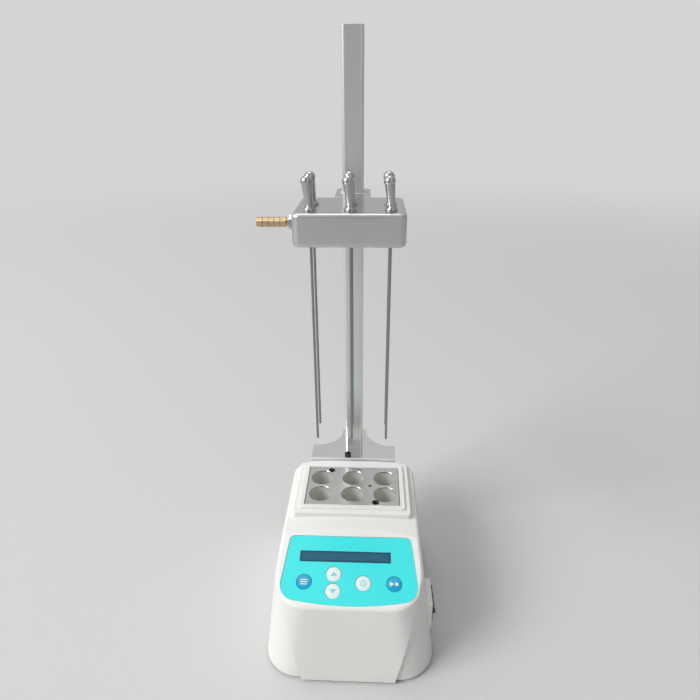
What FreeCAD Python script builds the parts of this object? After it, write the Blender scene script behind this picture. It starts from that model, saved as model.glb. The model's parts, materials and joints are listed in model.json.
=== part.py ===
import FreeCAD, Part
import math
import os
import re
import Sketcher
from FreeCAD import Placement, Rotation, Vector

# Mini dry block heater with a gas blow-down head on a pole, in millimetres.
# X runs to the right, Y away from the user, Z up. The origin is on the table, under the middle of the base.

doc = FreeCAD.newDocument("dry_block_heater")
sheet = doc.addObject("Spreadsheet::Sheet", "Sizes")

# Driving sizes: name, value
SIZES = [
    # moulded housing
    ("foot_height", 2.0), ("foot_radius", 6.0), ("foot_taper", 0.6), ("foot_side", 20.0), ("foot_front", 22.0),
    ("foot_rear", 14.0),
    ("base_width", 124.8), ("deck_width", 103.0), ("deck_height", 85.4),
    ("base_front", 70.4), ("deck_front", 62.6), ("housing_rear", 73.0),
    ("front_corner", 26.0), ("rear_corner", 16.0), ("edge_round", 3.4),
    ("crown_radius", 650.0), ("deck_tilt", 2.2), ("wall", 2.5), ("deck_thickness", 4.4),
    ("shield_step", 2.4), ("shield_rise", 0.9), ("shield_low_width", 67.0), ("shield_high_width", 105.6),
    ("floor_thickness", 3.0), ("seat_gap", 0.3),
    ("vent_pitch", 9.0), ("vent_width", 3.0), ("vent_length", 22.0), ("vent_y", 5.0),
    ("boss_radius", 4.5), ("boss_height", 15.0), ("boss_inset", 7.9), ("boss_front", 40.0), ("boss_rear", 48.0),
    # control panel
    ("panel_start", 9.1), ("panel_tilt", 18.5), ("panel_recess", 1.0),
    ("overlay_top", 6.9), ("overlay_length", 45.1), ("overlay_top_width", 89.4), ("overlay_low_width", 98.4),
    ("overlay_bow", 230.0), ("overlay_top_corner", 4.0), ("overlay_low_corner", 11.0), ("overlay_thickness", 0.6),
    ("window_width", 66.0), ("window_height", 8.0), ("window_down", 22.4), ("window_shift", -3.3),
    ("window_ledge", 1.2), ("window_thickness", 0.7),
    ("key_radius", 5.3), ("key_gap", 0.3), ("key_catch", 0.55), ("key_travel", 0.5), ("key_flange", 1.1),
    ("key_dome", 0.35), ("key_sink", 0.3),
    ("key_row", 41.4), ("key_far", 31.8), ("key_middle", 10.0), ("arrow_across", 11.1), ("arrow_half", 6.0),
    ("board_drop", 6.4), ("board_thickness", 1.6), ("board_width", 86.0), ("board_length", 45.0),
    ("board_start", 8.5),
    ("board_screw_inset", 3.5), ("post_radius", 2.6), ("lcd_width", 72.0), ("lcd_height", 13.0),
    ("lcd_thickness", 2.6), ("small_screw", 1.0), ("small_head", 2.0), ("small_head_height", 1.4),
    # heating block and its seat
    ("block_y", 35.0), ("block_width", 75.0), ("block_depth", 46.9), ("block_height", 42.0), ("block_rise", 4.6),
    ("well_radius", 9.05), ("well_depth", 36.0), ("well_pitch_x", 26.0), ("well_pitch_y", 20.4),
    ("well_chamfer", 0.3),
    ("fixing_x", 18.6), ("fixing_y", 19.9), ("fixing_radius", 1.5), ("fixing_head", 2.7), ("fixing_sink", 1.0),
    ("head_height", 3.0), ("wide_head", 3.3), ("head_sink", 0.2),
    ("probe_hole_x", 13.9), ("probe_hole_radius", 1.2), ("probe_hole_depth", 20.0),
    ("bezel_rim", 4.4), ("bezel_ledge", 4.3), ("bezel_step", 1.4), ("bezel_gap", 0.5), ("bezel_skirt", 1.8),
    ("bezel_rise", 0.4), ("bezel_corner", 2.6), ("bezel_round", 1.0), ("rim_round", 0.6), ("bezel_sink", 3.0),
    ("skirt_length", 9.0),
    ("heater_thickness", 8.0), ("pad_thickness", 6.0), ("sensor_radius", 1.8), ("sensor_length", 26.0),
    ("pillar_radius", 4.0), ("pillar_x", 28.0), ("pillar_y", 14.0),
    # control electronics
    ("main_board_width", 84.0), ("main_board_depth", 48.0), ("main_board_y", -30.0), ("standoff_height", 7.0),
    ("standoff_radius", 3.0), ("standoff_inset", 5.0), ("solder_sink", 0.2),
    ("relay_width", 19.0), ("relay_depth", 15.0), ("relay_height", 15.0), ("relay_side", 14.0), ("relay_y", -22.0),
    ("sink_width", 22.0), ("sink_depth", 9.0), ("sink_height", 18.0), ("sink_side", 16.0), ("sink_y", -16.0),
    ("terminal_width", 26.0), ("terminal_depth", 9.0), ("terminal_height", 10.0), ("terminal_x", 6.0),
    ("terminal_inset", 6.0), ("chip_size", 14.0), ("chip_height", 2.0), ("chip_x", 4.0), ("chip_y", -34.0),
    ("capacitor_radius", 5.0), ("capacitor_height", 13.0), ("capacitor_pitch", 12.0), ("capacitor_inset", 10.0),
    # power switch pod and inlet
    ("pod_inset", 2.4), ("pod_y", -35.6), ("pod_z", 40.0), ("pod_depth", 23.4), ("pod_height", 24.0),
    ("switch_width", 15.0), ("switch_height", 20.0), ("switch_rim", 1.4), ("switch_lip", 1.2), ("switch_body", 14.0),
    ("rocker_tilt", -11.0), ("rocker_gap", 0.7), ("rocker_rise", 1.6), ("rocker_horn", 1.1), ("rocker_root", 2.4),
    ("rocker_room", 4.5), ("switch_wall", 1.0),
    ("inlet_x", -38.0), ("inlet_z", 26.0), ("inlet_radius", 5.5), ("inlet_bore", 3.1), ("inlet_depth", 14.0),
    ("inlet_pin", 1.0), ("inlet_lip", 1.0), ("inlet_flange", 1.4), ("inlet_floor", 4.0),
    # stand bracket and pole
    ("bracket_width", 74.5), ("bracket_thickness", 3.0), ("bracket_drop", 42.0), ("shelf_rise", 4.6),
    ("shelf_depth", 19.0), ("shoulder", 23.0), ("neck_width", 22.0), ("neck_end", 45.0),
    ("bracket_screw_x", 30.0), ("bracket_screw_pitch", 22.0),
    ("stand_x", -1.0), ("pole_size", 15.5), ("pole_wall", 2.0), ("pole_back", 22.4), ("pole_length", 334.6),
    ("pole_chamfer", 2.4), ("pole_screw_radius", 2.0), ("pole_nut", 4.2), ("plug_length", 16.0),
    ("cap_length", 6.0), ("plug_gap", 0.05), ("shelf_screw_x", -6.0), ("shelf_screw_head", 2.75),
    ("slot_width", 13.0), ("slot_height", 2.6), ("slot_x", 4.0),
    # carriage and clamp
    ("arm_z", 295.0), ("arm_height", 21.5), ("slide_gap", 0.08), ("liner_wall", 1.2), ("sleeve_wall", 3.8),
    ("sleeve_rear_wall", 6.0), ("knob_radius", 9.5), ("knob_length", 13.0), ("knob_gap", 0.6), ("knob_step", 3.0),
    ("clamp_screw_radius", 2.5),
    # gas head
    ("head_width", 72.4), ("head_front", 22.6), ("head_rear", 19.4), ("head_round", 2.6), ("head_corner", 5.0),
    ("head_wall", 4.0),
    ("bar_depth", 18.2), ("valve_hole", 1.2), ("cover_screw_inset", 2.4), ("cover_screw_head", 2.1),
    ("cover_screw_radius", 1.0), ("cover_screw_length", 7.0), ("cover_thickness", 2.5), ("cover_inset", 4.0),
    ("gasket_thickness", 0.8),
    ("collar_radius", 4.1), ("collar_height", 1.8), ("collar_bore", 3.05), ("collar_top", 3.55),
    ("lever_length", 20.4), ("lever_head", 3.8), ("lever_brow", 1.2), ("lever_shank", 3.3), ("lever_neck", 2.3),
    ("lever_ball", 2.6), ("lever_rise", 1.0), ("lever_gap", 0.25), ("lever_lean", -5.0),
    ("needle_x", -0.4), ("needle_radius", 0.9), ("needle_reach", 151.0),
    ("fitting_radius", 1.9), ("fitting_length", 1.8),
    ("barb_length", 21.5), ("barb_radius", 3.4), ("barb_neck", 2.3), ("barb_root", 2.95), ("barb_bore", 1.4),
    ("barb_nut", 4.2), ("barb_nut_radius", 4.9), ("barb_plain", 2.0), ("barb_rise", 1.0),
    # how far a cutting tool runs past the solid that it cuts
    ("past", 1.0),
]

# Sizes that follow from the driving ones: name, formula
DERIVED = [
    ("side_slope", "(base_width - deck_width) / 2 / (deck_height - foot_height)"),
    ("front_slope", "(base_front - deck_front) / (deck_height - foot_height)"),
    ("panel_cos", "cos(panel_tilt)"), ("panel_sin", "sin(panel_tilt)"),
    ("deck_rise", "(housing_rear + panel_start) * tan(deck_tilt)"),
    ("floor_top", "foot_height + floor_thickness"),
    ("panel_under", "panel_recess + wall"),
    ("block_top", "deck_height + block_rise"), ("shelf_top", "deck_height + shelf_rise"),
    ("pod_face", "base_width / 2 - pod_inset"),
    ("block_bottom", "block_top - block_height"),
    ("heater_bottom", "block_bottom - heater_thickness"),
    ("pad_bottom", "heater_bottom - pad_thickness"),
    ("opening_x", "block_width / 2 + bezel_gap + bezel_skirt + seat_gap"),
    ("opening_y", "block_depth / 2 + bezel_gap + bezel_skirt + seat_gap"),
    ("bezel_foot", "deck_height - bezel_sink"),
    ("bezel_top", "block_top + bezel_rise"),
    ("key_hole", "key_radius + key_gap"),
    ("board_n", "panel_under + board_drop - wall"),
    ("pole_y", "housing_rear + pole_back"),
    ("pole_rear", "pole_y + pole_size / 2"), ("pole_top", "shelf_top + pole_length"),
    ("head_y0", "block_y - head_front"), ("head_y1", "block_y + head_rear"),
    ("bar_y1", "head_y1 + bar_depth"),
    ("arm_top", "arm_z + arm_height"),
    ("liner_half", "pole_size / 2 + slide_gap"),
    ("sleeve_hole", "liner_half + liner_wall"),
    ("sleeve_half", "sleeve_hole + sleeve_wall"),
    ("sleeve_y1", "pole_y + sleeve_hole + sleeve_rear_wall"),
    ("clamp_z", "arm_z + arm_height / 2"),
    ("lever_z", "arm_top + lever_rise"),
    ("seat_depth", "lever_ball - lever_rise + lever_gap"),
    ("barb_z", "arm_z + arm_height / 2 + barb_rise"),
    ("main_board_z", "floor_top + standoff_height"),
    ("shelf_under", "shelf_top - bracket_thickness"),
    ("shelf_screw_y", "housing_rear + shelf_screw_head"),
    ("knob_y", "sleeve_y1 + knob_gap"),
    ("head_x0", "stand_x - head_width / 2"),
]

NAMES = [name for name, _ in SIZES + DERIVED]
ALIAS = re.compile(r"(?<![\w.])(" + "|".join(sorted(NAMES, key=len, reverse=True)) + r")(?![\w(])")

for row, (name, value) in enumerate(SIZES, 1):
    sheet.set("A%d" % row, name)
    sheet.set("B%d" % row, str(value))
    sheet.setAlias("B%d" % row, name)
for row, (name, formula) in enumerate(DERIVED, len(SIZES) + 2):
    sheet.set("A%d" % row, name)
    sheet.set("B%d" % row, "=" + formula)
    sheet.setAlias("B%d" % row, name)
doc.recompute()


def size(name):
    """The value of one named size."""
    return float(sheet.get(name))


def bind(item, prop, formula):
    """Tie one property of an object to a formula over the named sizes."""
    item.setExpression(prop, ALIAS.sub(r"Sizes.\1", str(formula)))


def value_of(formula):
    """What a formula over the named sizes comes to."""
    return float(sheet.evalExpression(ALIAS.sub(r"Sizes.\1", str(formula))))


def put(item, x="0", y="0", z="0", axis=None, angle="0"):
    """Place an object at a point, turned about one axis."""
    if axis is not None:
        item.Placement = Placement(Vector(0, 0, 0), Rotation(axis, 1.0))
        bind(item, "Placement.Rotation.Angle", angle)
    bind(item, "Placement.Base.x", x)
    bind(item, "Placement.Base.y", y)
    bind(item, "Placement.Base.z", z)
    return item


def put_on_panel(item, u="0", v="0", n="0"):
    """Place an object in the panel's own frame: u across, v down the slope, n out of the panel."""
    y = "-panel_start - (%s) * panel_cos - (%s) * panel_sin" % (v, n)
    z = "deck_height - (%s) * panel_sin + (%s) * panel_cos" % (v, n)
    return put(item, u, y, z, Vector(1, 0, 0), "panel_tilt")


def box(name, x, y, z, dx, dy, dz):
    """A box from its lowest corner and its three lengths."""
    item = doc.addObject("Part::Box", name)
    bind(item, "Length", dx)
    bind(item, "Width", dy)
    bind(item, "Height", dz)
    return put(item, x, y, z)


def mid_box(name, x, y, z, dx, dy, dz):
    """A box centred in X and Y that stands on z."""
    return box(name, "%s - (%s) / 2" % (x, dx), "%s - (%s) / 2" % (y, dy), z, dx, dy, dz)


def panel_box(name, u, v, n, du, dv, dn):
    """A box in the panel's frame, centred on u and v, that stands on n."""
    item = doc.addObject("Part::Box", name)
    bind(item, "Length", du)
    bind(item, "Width", dv)
    bind(item, "Height", dn)
    return put_on_panel(item, "%s - (%s) / 2" % (u, du), "(%s) + (%s) / 2" % (v, dv), n)


AXES = {"x": (Vector(0, 1, 0), "90"), "-x": (Vector(0, 1, 0), "-90"), "y": (Vector(1, 0, 0), "-90"), "z": (None, "0")}


def rod(name, x, y, z, radius, length, along="z"):
    """A round bar from the middle of its first end."""
    item = doc.addObject("Part::Cylinder", name)
    bind(item, "Radius", radius)
    bind(item, "Height", length)
    return put(item, x, y, z, *AXES[along])


def panel_rod(name, u, v, n, radius, length):
    """A round bar that stands on the panel's frame."""
    item = doc.addObject("Part::Cylinder", name)
    bind(item, "Radius", radius)
    bind(item, "Height", length)
    return put_on_panel(item, u, v, n)


def taper(name, x, y, z, low, high, length, along="z"):
    """A cone's frustum from the middle of its first end."""
    item = doc.addObject("Part::Cone", name)
    bind(item, "Radius1", low)
    bind(item, "Radius2", high)
    bind(item, "Height", length)
    return put(item, x, y, z, *AXES[along])


def hexagon(name, x, y, z, radius, length, along="z"):
    """A hexagonal bar."""
    item = doc.addObject("Part::Prism", name)
    item.Polygon = 6
    bind(item, "Circumradius", radius)
    bind(item, "Height", length)
    return put(item, x, y, z, *AXES[along])


def drafted(name, half_low, half_high, front_low, front_high, rear, z_low, z_high):
    """A block whose sides and front lean inwards as they rise."""
    item = doc.addObject("Part::Wedge", name)
    bind(item, "Xmin", "-(%s)" % half_low)
    bind(item, "Xmax", half_low)
    bind(item, "X2min", "-(%s)" % half_high)
    bind(item, "X2max", half_high)
    bind(item, "Ymin", z_low)
    bind(item, "Ymax", z_high)
    bind(item, "Zmin", "-(%s)" % rear)
    bind(item, "Zmax", front_low)
    bind(item, "Z2min", "-(%s)" % rear)
    bind(item, "Z2max", front_high)
    return put(item, axis=Vector(1, 0, 0), angle="90")


def cut(name, base, *tools):
    """Take the tools away from the base."""
    item = doc.addObject("Part::Cut", name)
    item.Base = base
    item.Tool = tools[0] if len(tools) == 1 else fuse(name + "_tools", *tools)
    return item


def fuse(name, *items):
    """Join solids into one."""
    item = doc.addObject("Part::MultiFuse", name)
    item.Shapes = list(items)
    item.Refine = True
    return item


def common(name, *items):
    """What several solids share."""
    item = doc.addObject("Part::MultiCommon", name)
    item.Shapes = list(items)
    return item


def group(name, *items):
    """Separate solids kept as one node."""
    item = doc.addObject("Part::Compound", name)
    item.Links = list(items)
    return item


def rounded(name, base, choose):
    """Round the edges for which choose gives a radius."""
    doc.recompute()
    item = doc.addObject("Part::Fillet", name)
    item.Base = base
    picked = [(number, choose(edge)) for number, edge in enumerate(base.Shape.Edges, 1)]
    item.Edges = [(number, radius, radius) for number, radius in picked if radius]
    return item


def middle(edge):
    """The middle point of an edge."""
    first, last = edge.ParameterRange
    return edge.valueAt((first + last) / 2)


def corner_round(front, rear):
    """Chooser for the four rising corner edges of a drafted block."""
    def choose(edge):
        tall = edge.BoundBox.ZLength > 0.9 * max(edge.BoundBox.XLength, edge.BoundBox.YLength)
        return (front if middle(edge).y < 0 else rear) if tall else None
    return choose


def plane_of(body, role):
    """One of a body's own origin planes."""
    return [f for f in body.Origin.OriginFeatures if f.Role == role][0]


def new_body(name):
    return doc.addObject("PartDesign::Body", name)


def outline(body, name, role, points):
    """A closed sketch. Each point is (x, y) or (x, y, radius): a radius bows the edge that leaves it,
    outwards on an outline drawn counter-clockwise when positive and inwards when negative."""
    sketch = body.newObject("Sketcher::SketchObject", name)
    sketch.AttachmentSupport = [(plane_of(body, role), "")]
    sketch.MapMode = "FlatFace"
    spots = [Vector(value_of(p[0]), value_of(p[1]), 0) for p in points]
    count = len(points)
    for number, point in enumerate(points):
        start = spots[number]
        end = spots[(number + 1) % count]
        if len(point) == 2:
            sketch.addGeometry(Part.LineSegment(start, end))
            continue
        radius = value_of(point[2])
        chord = end - start
        inward = Vector(-chord.y, chord.x, 0).normalize() * math.copysign(1, radius)
        centre = (start + end) * 0.5 + inward * (radius ** 2 - chord.Length ** 2 / 4) ** 0.5
        first, last = (start, end) if radius > 0 else (end, start)
        angles = [math.atan2(p.y - centre.y, p.x - centre.x) for p in (first, last)]
        turn = (angles[1] - angles[0]) % (2 * math.pi)
        circle = Part.Circle(centre, Vector(0, 0, 1), abs(radius))
        sketch.addGeometry(Part.ArcOfCircle(circle, angles[0], angles[0] + turn))
    # the sketch keeps every arc counter-clockwise, so an inward bow starts at its far end
    forward = [len(point) == 2 or value_of(point[2]) > 0 for point in points]
    for number, point in enumerate(points):
        here = 1 if forward[number] else 2
        before = (number - 1) % count
        back = 2 if forward[before] else 1
        sketch.addConstraint(Sketcher.Constraint("Coincident", before, back, number, here))
        for kind, formula in (("DistanceX", point[0]), ("DistanceY", point[1])):
            place = spots[number].x if kind == "DistanceX" else spots[number].y
            index = sketch.addConstraint(Sketcher.Constraint(kind, -1, 1, number, here, place))
            bind(sketch, "Constraints[%d]" % index, formula)
        if len(point) == 3:
            index = sketch.addConstraint(Sketcher.Constraint("Radius", number, abs(value_of(point[2]))))
            bind(sketch, "Constraints[%d]" % index, "abs(%s)" % point[2])
    return sketch


def pad(body, sketch, name, length):
    """Raise a sketch by a length."""
    item = body.newObject("PartDesign::Pad", name)
    item.Profile = sketch
    bind(item, "Length", length)
    return item


def spin(body, sketch, name, axis="V_Axis"):
    """Turn a sketch round one of its axes."""
    item = body.newObject("PartDesign::Revolution", name)
    item.Profile = sketch
    item.ReferenceAxis = (sketch, [axis])
    item.Angle = 360
    return item


def round_edges(body, feature, name, choose, formula):
    """Round the chosen edges of a body's last feature."""
    doc.recompute()
    picked = ["Edge%d" % n for n, edge in enumerate(feature.Shape.Edges, 1) if choose(edge)]
    item = body.newObject("PartDesign::Fillet", name)
    item.Base = (feature, picked)
    bind(item, "Radius", formula)
    return item


NODES = []


def node(item, label):
    """Name a finished sub-part."""
    item.Label = label
    NODES.append(item)
    return item


SIDES = ((-1, "left"), (1, "right"))


# Moulded housing

def housing_form(name, inset, z_low, drop, panel_n, spread="0"):
    """The drafted and sloped form of the housing, drawn in by an inset, with its foot spread further out."""
    z_high = "deck_height - (%s)" % drop
    half_low = "base_width / 2 - (%s) + (%s) - side_slope * (%s - foot_height)" % (inset, spread, z_low)
    half_high = "deck_width / 2 - (%s) + side_slope * (%s)" % (inset, drop)
    front_low = "base_front - (%s) + (%s) - front_slope * (%s - foot_height)" % (inset, spread, z_low)
    front_high = "deck_front - (%s) + front_slope * (%s)" % (inset, drop)
    block = drafted(name + "_block", half_low, half_high, front_low, front_high,
                    "housing_rear - (%s)" % inset, z_low, z_high)
    less = value_of(inset)
    turned = rounded(name + "_corners", block, corner_round(size("front_corner") - less, size("rear_corner") - less))
    above = panel_box(name + "_above", "0", "base_front", panel_n,
                      "base_width * 2", "base_front * 4", "deck_height")
    return cut(name, turned, above)


def top_edges():
    """Chooser for the edges where the deck and the panel meet the walls."""
    panel_turn = Rotation(Vector(1, 0, 0), size("panel_tilt"))
    normal = panel_turn.multVec(Vector(0, 0, 1))
    start = Vector(0, -size("panel_start"), size("deck_height"))
    deck_turn = Rotation(Vector(1, 0, 0), size("deck_tilt"))
    crown_axis = deck_turn.multVec(Vector(0, 1, 0))
    crown_middle = start - deck_turn.multVec(Vector(0, 0, size("crown_radius")))

    def choose(edge):
        first, last = edge.ParameterRange
        spots = [edge.valueAt(first + (last - first) * share) for share in (0.2, 0.5, 0.8)]
        on_panel = all(abs((p - start).dot(normal)) < 0.01 for p in spots)
        on_crown = all(abs((p - crown_middle).cross(crown_axis).Length - size("crown_radius")) < 0.01 for p in spots)
        return size("edge_round") if on_panel or on_crown else None
    return choose


# The crowned deck is part of a wide cylinder that climbs a little towards the rear
CROWN_START = "base_front * 2"
crown = rod("deck_crown", "0", "0", "0", "crown_radius", "(base_front + housing_rear) * 2")
put(crown, "0", "crown_radius * sin(deck_tilt) - %s * cos(deck_tilt) - panel_start" % CROWN_START,
    "deck_height - crown_radius * cos(deck_tilt) - %s * sin(deck_tilt)" % CROWN_START, Vector(1, 0, 0),
    "deck_tilt - 90")
outer = common("housing_outer", housing_form("outer_form", "0", "foot_height", "-deck_rise - past", "0"), crown)
soft_outer = rounded("housing_soft", outer, top_edges())

shield_full = common("shield_full", housing_form("shield_form", "-shield_rise", "foot_height", "0", "0",
                                                 "shield_step - shield_rise"), crown)
shield_soft = rounded("shield_soft", shield_full, top_edges())
shield_taper = drafted("shield_taper", "shield_low_width / 2", "shield_high_width / 2", "base_front * 2",
                       "base_front * 2", "-deck_front / 2", "foot_height", "deck_height")
shield = common("front_shield", shield_soft, shield_taper)

pod = mid_box("switch_pod", "pod_face - pod_depth / 2", "pod_y", "pod_z - pod_height / 2",
              "pod_depth", "pod_depth", "pod_height")

cavity = housing_form("cavity", "wall", "foot_height", "deck_thickness", "-panel_under")
pod_room = mid_box("pod_room", "pod_face - wall - pod_depth / 2", "pod_y", "pod_z - pod_height / 2 + wall",
                   "pod_depth", "pod_depth - 2 * wall", "pod_height - 2 * wall")

bosses = []
boss_holes = []
boss_spots = []
for sign, side in SIDES:
    for y, end in (("-boss_front", "front"), ("boss_rear", "rear")):
        x = "%d * (base_width / 2 - boss_inset)" % sign
        boss_spots.append((x, y, side + "_" + end))
        bosses.append(rod("boss_%s_%s" % (side, end), x, y, "floor_top", "boss_radius", "boss_height"))
        boss_holes.append(rod("boss_hole_%s_%s" % (side, end), x, y, "floor_top", "fixing_radius + seat_gap / 3",
                              "boss_height - wall"))

# The keys: name, across, down the panel
KEYS = [("left_key", "-key_far", "key_row"), ("up_key", "-arrow_across", "key_row - arrow_half"),
        ("down_key", "-arrow_across", "key_row + arrow_half"), ("middle_key", "key_middle", "key_row"),
        ("right_key", "key_far", "key_row")]

BOARD_SCREWS = []
for sign, side in SIDES:
    for v, end in (("board_start + board_screw_inset", "top"),
                   ("board_start + board_length - board_screw_inset", "low")):
        BOARD_SCREWS.append(("%d * (board_width / 2 - board_screw_inset)" % sign, v, side + "_" + end))
posts = []
post_holes = []
for u, v, tag in BOARD_SCREWS:
    posts.append(panel_rod("post_" + tag, u, v, "-board_n", "post_radius", "board_n - panel_recess - seat_gap"))
    post_holes.append(panel_rod("post_hole_" + tag, u, v, "-board_n", "small_screw + seat_gap / 3",
                                "board_n - panel_under"))


def panel_outline(body, grow):
    """The overlay's outline: a slight trapezium with a bowed lower edge, in the panel's frame."""
    low = "-(overlay_top + overlay_length)"
    half_low = "overlay_low_width / 2 + %s" % grow
    half_top = "overlay_top_width / 2 + %s" % grow
    top = "-overlay_top + %s" % grow
    sketch = outline(body, "panel_outline", "XY_Plane", [
        ("-(%s)" % half_low, "%s - %s" % (low, grow), "overlay_bow"),
        (half_low, "%s - %s" % (low, grow)), (half_top, top), ("-(%s)" % half_top, top)])
    return sketch


def panel_sheet(name, grow, n, thickness):
    """A sheet of the overlay's outline that stands on n in the panel's frame."""
    body = new_body(name)
    sheet_pad = pad(body, panel_outline(body, grow), "sheet", thickness)

    def upright(edge):
        return edge.BoundBox.ZLength > 0.9 * value_of(thickness)
    low_y = -size("overlay_top") - size("overlay_length") / 2
    low = round_edges(body, sheet_pad, "low_corners",
                      lambda e: upright(e) and middle(e).y < low_y, "overlay_low_corner + %s" % grow)
    round_edges(body, low, "top_corners", lambda e: upright(e) and middle(e).y > low_y and
                abs(middle(e).x) > size("overlay_top_width") / 2 - 1, "overlay_top_corner + %s" % grow)
    return put_on_panel(body, n=n)


recess = panel_sheet("panel_recess_form", "seat_gap", "-panel_recess", "panel_recess * 4")
window_hole = panel_box("window_hole", "window_shift", "window_down", "-panel_under * 2",
                        "window_width - 2 * window_ledge", "window_height - 2 * window_ledge", "panel_under * 3")
key_holes = [panel_rod("hole_" + tag, u, v, "-panel_under * 2", "key_hole", "panel_under * 3") for tag, u, v in KEYS]
block_opening = mid_box("block_opening", "0", "block_y", "deck_height - deck_thickness * 3",
                        "2 * opening_x", "2 * opening_y", "deck_thickness * 5")
switch_hole = mid_box("switch_hole", "pod_face", "pod_y", "pod_z - switch_height / 2 + switch_rim",
                      "wall * 4", "switch_width - 2 * switch_rim", "switch_height - 2 * switch_rim")
inlet_hole = rod("inlet_hole", "inlet_x", "housing_rear - wall * 2", "inlet_z",
                 "inlet_radius - inlet_lip + seat_gap / 3", "wall * 3", "y")

BRACKET_SCREWS = []
for sign, side in SIDES:
    for step, end in ((0, "top"), (1, "low")):
        z = "shelf_under - bracket_drop * 0.2 - %d * bracket_screw_pitch" % step
        BRACKET_SCREWS.append(("stand_x + %d * bracket_screw_x" % sign, z, side + "_" + end))
bracket_holes = [rod("wall_hole_" + tag, x, "housing_rear - wall * 2", z, "fixing_radius + seat_gap / 3",
                     "wall * 3", "y") for x, z, tag in BRACKET_SCREWS]

shell = cut("housing_shell", fuse("housing_full", soft_outer, shield, pod), cavity, pod_room)
ribbed = fuse("housing_ribbed", shell, common("housing_bosses", fuse("boss_set", *bosses), soft_outer),
              common("housing_posts", fuse("post_set", *posts), soft_outer))
node(cut("upper_housing_cut", ribbed, recess, window_hole, *key_holes, block_opening, switch_hole, inlet_hole,
         *bracket_holes, *boss_holes, *post_holes), "upper_housing")


# Base plate, feet and screws

plate_block = drafted("plate_block", "base_width / 2 - wall - seat_gap",
                      "base_width / 2 - wall - seat_gap - side_slope * floor_thickness",
                      "base_front - wall - seat_gap", "base_front - wall - seat_gap - front_slope * floor_thickness",
                      "housing_rear - wall - seat_gap", "foot_height", "floor_top")
plate_inset = size("wall") + size("seat_gap")
plate_turned = rounded("plate_corners", plate_block,
                       corner_round(size("front_corner") - plate_inset, size("rear_corner") - plate_inset))
raised = []
for sx, side in SIDES:
    for sy, end in ((-1, "front"), (1, "rear")):
        raised.append(rod("pillar_%s_%s" % (side, end), "%d * pillar_x" % sx, "block_y + %d * pillar_y" % sy,
                          "foot_height", "pillar_radius", "pad_bottom - foot_height"))
        raised.append(rod("standoff_%s_%s" % (side, end), "%d * (main_board_width / 2 - standoff_inset)" % sx,
                          "main_board_y + %d * (main_board_depth / 2 - standoff_inset)" % sy, "foot_height",
                          "standoff_radius", "main_board_z - foot_height"))
screw_rooms = [rod("screw_room_" + tag, x, y, "foot_height", "wide_head + seat_gap", "floor_thickness * 0.6")
               for x, y, tag in boss_spots]
screw_rooms += [rod("screw_way_" + tag, x, y, "foot_height", "fixing_radius + seat_gap", "floor_thickness * 2")
                for x, y, tag in boss_spots]
VENT_COUNT = 7
vents = [mid_box("vent_%d" % n, "%d * vent_pitch" % (n - VENT_COUNT // 2), "vent_y", "foot_height - past",
                 "vent_width", "vent_length", "floor_thickness + 2 * past") for n in range(VENT_COUNT)]
node(cut("base_plate_cut", fuse("base_plate_solid", plate_turned, *raised), *screw_rooms, *vents), "base_plate")

feet = []
for sx, side in SIDES:
    for y, end in (("-base_front + foot_front", "front"), ("housing_rear - foot_rear", "rear")):
        feet.append(taper("foot_%s_%s" % (side, end), "%d * (base_width / 2 - foot_side)" % sx, y, "0",
                          "foot_radius - foot_taper", "foot_radius", "foot_height"))
node(group("feet", *feet), "rubber_feet")

base_screws = []
for x, y, tag in boss_spots:
    head = rod("base_head_" + tag, x, y, "foot_height + head_sink", "wide_head", "floor_thickness * 0.6 - head_sink")
    shank = rod("base_shank_" + tag, x, y, "foot_height + head_sink", "fixing_radius",
                "floor_thickness + boss_height - wall * 1.5 - head_sink")
    base_screws.append(fuse("base_screw_" + tag, head, shank))
node(group("base_screw_set", *base_screws), "base_screws")


# Block surround: a frame in two tiers on the crowned deck, with a skirt that drops into the deck

def frame_tier(name, reach, z_top, brow):
    """One tier of the surround, with rounded corners and a softened top edge."""
    tier = mid_box(name + "_block", "0", "block_y", "bezel_foot", "block_width + 2 * (%s)" % reach,
                   "block_depth + 2 * (%s)" % reach, "%s - bezel_foot" % z_top)
    top = value_of(z_top)

    def choose(edge):
        if edge.BoundBox.ZLength > size("past"):
            return size("bezel_corner")
        return size(brow) if middle(edge).z > top - size("past") else None
    return rounded(name, tier, choose)


frame_tiers = fuse("frame_tiers", frame_tier("frame_ledge", "bezel_rim + bezel_ledge", "bezel_top - bezel_step",
                                             "bezel_round"),
                   frame_tier("frame_rim", "bezel_rim", "bezel_top", "rim_round"))
frame_hole = mid_box("frame_hole", "0", "block_y", "bezel_foot - skirt_length * 2", "block_width + 2 * bezel_gap",
                     "block_depth + 2 * bezel_gap", "skirt_length * 4")
skirt = mid_box("frame_skirt", "0", "block_y", "deck_height - skirt_length", "2 * (opening_x - seat_gap)",
                "2 * (opening_y - seat_gap)", "skirt_length + bezel_top - deck_height - bezel_step")
seated_frame = fuse("frame_seated", cut("frame_on_deck", frame_tiers, crown), skirt)
node(cut("block_bezel_cut", seated_frame, frame_hole), "block_bezel")


# Heating block with its wells, fixing screws, heater, insulation and sensor

COLUMNS = ((-1, "left"), (0, "middle"), (1, "right"))
ROWS = ((-0.5, "front"), (0.5, "rear"))
PLACES = [(i, "block_y + (%g) * well_pitch_y" % j, column + "_" + row) for j, row in ROWS for i, column in COLUMNS]
WELLS = [("%d * well_pitch_x" % i, y, tag) for i, y, tag in PLACES]
NEEDLES = [("needle_x + %d * well_pitch_x" % i, y, tag) for i, y, tag in PLACES]
FIXINGS = [("-fixing_x", "block_y + fixing_y", "rear"), ("fixing_x", "block_y - fixing_y", "front")]

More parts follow.
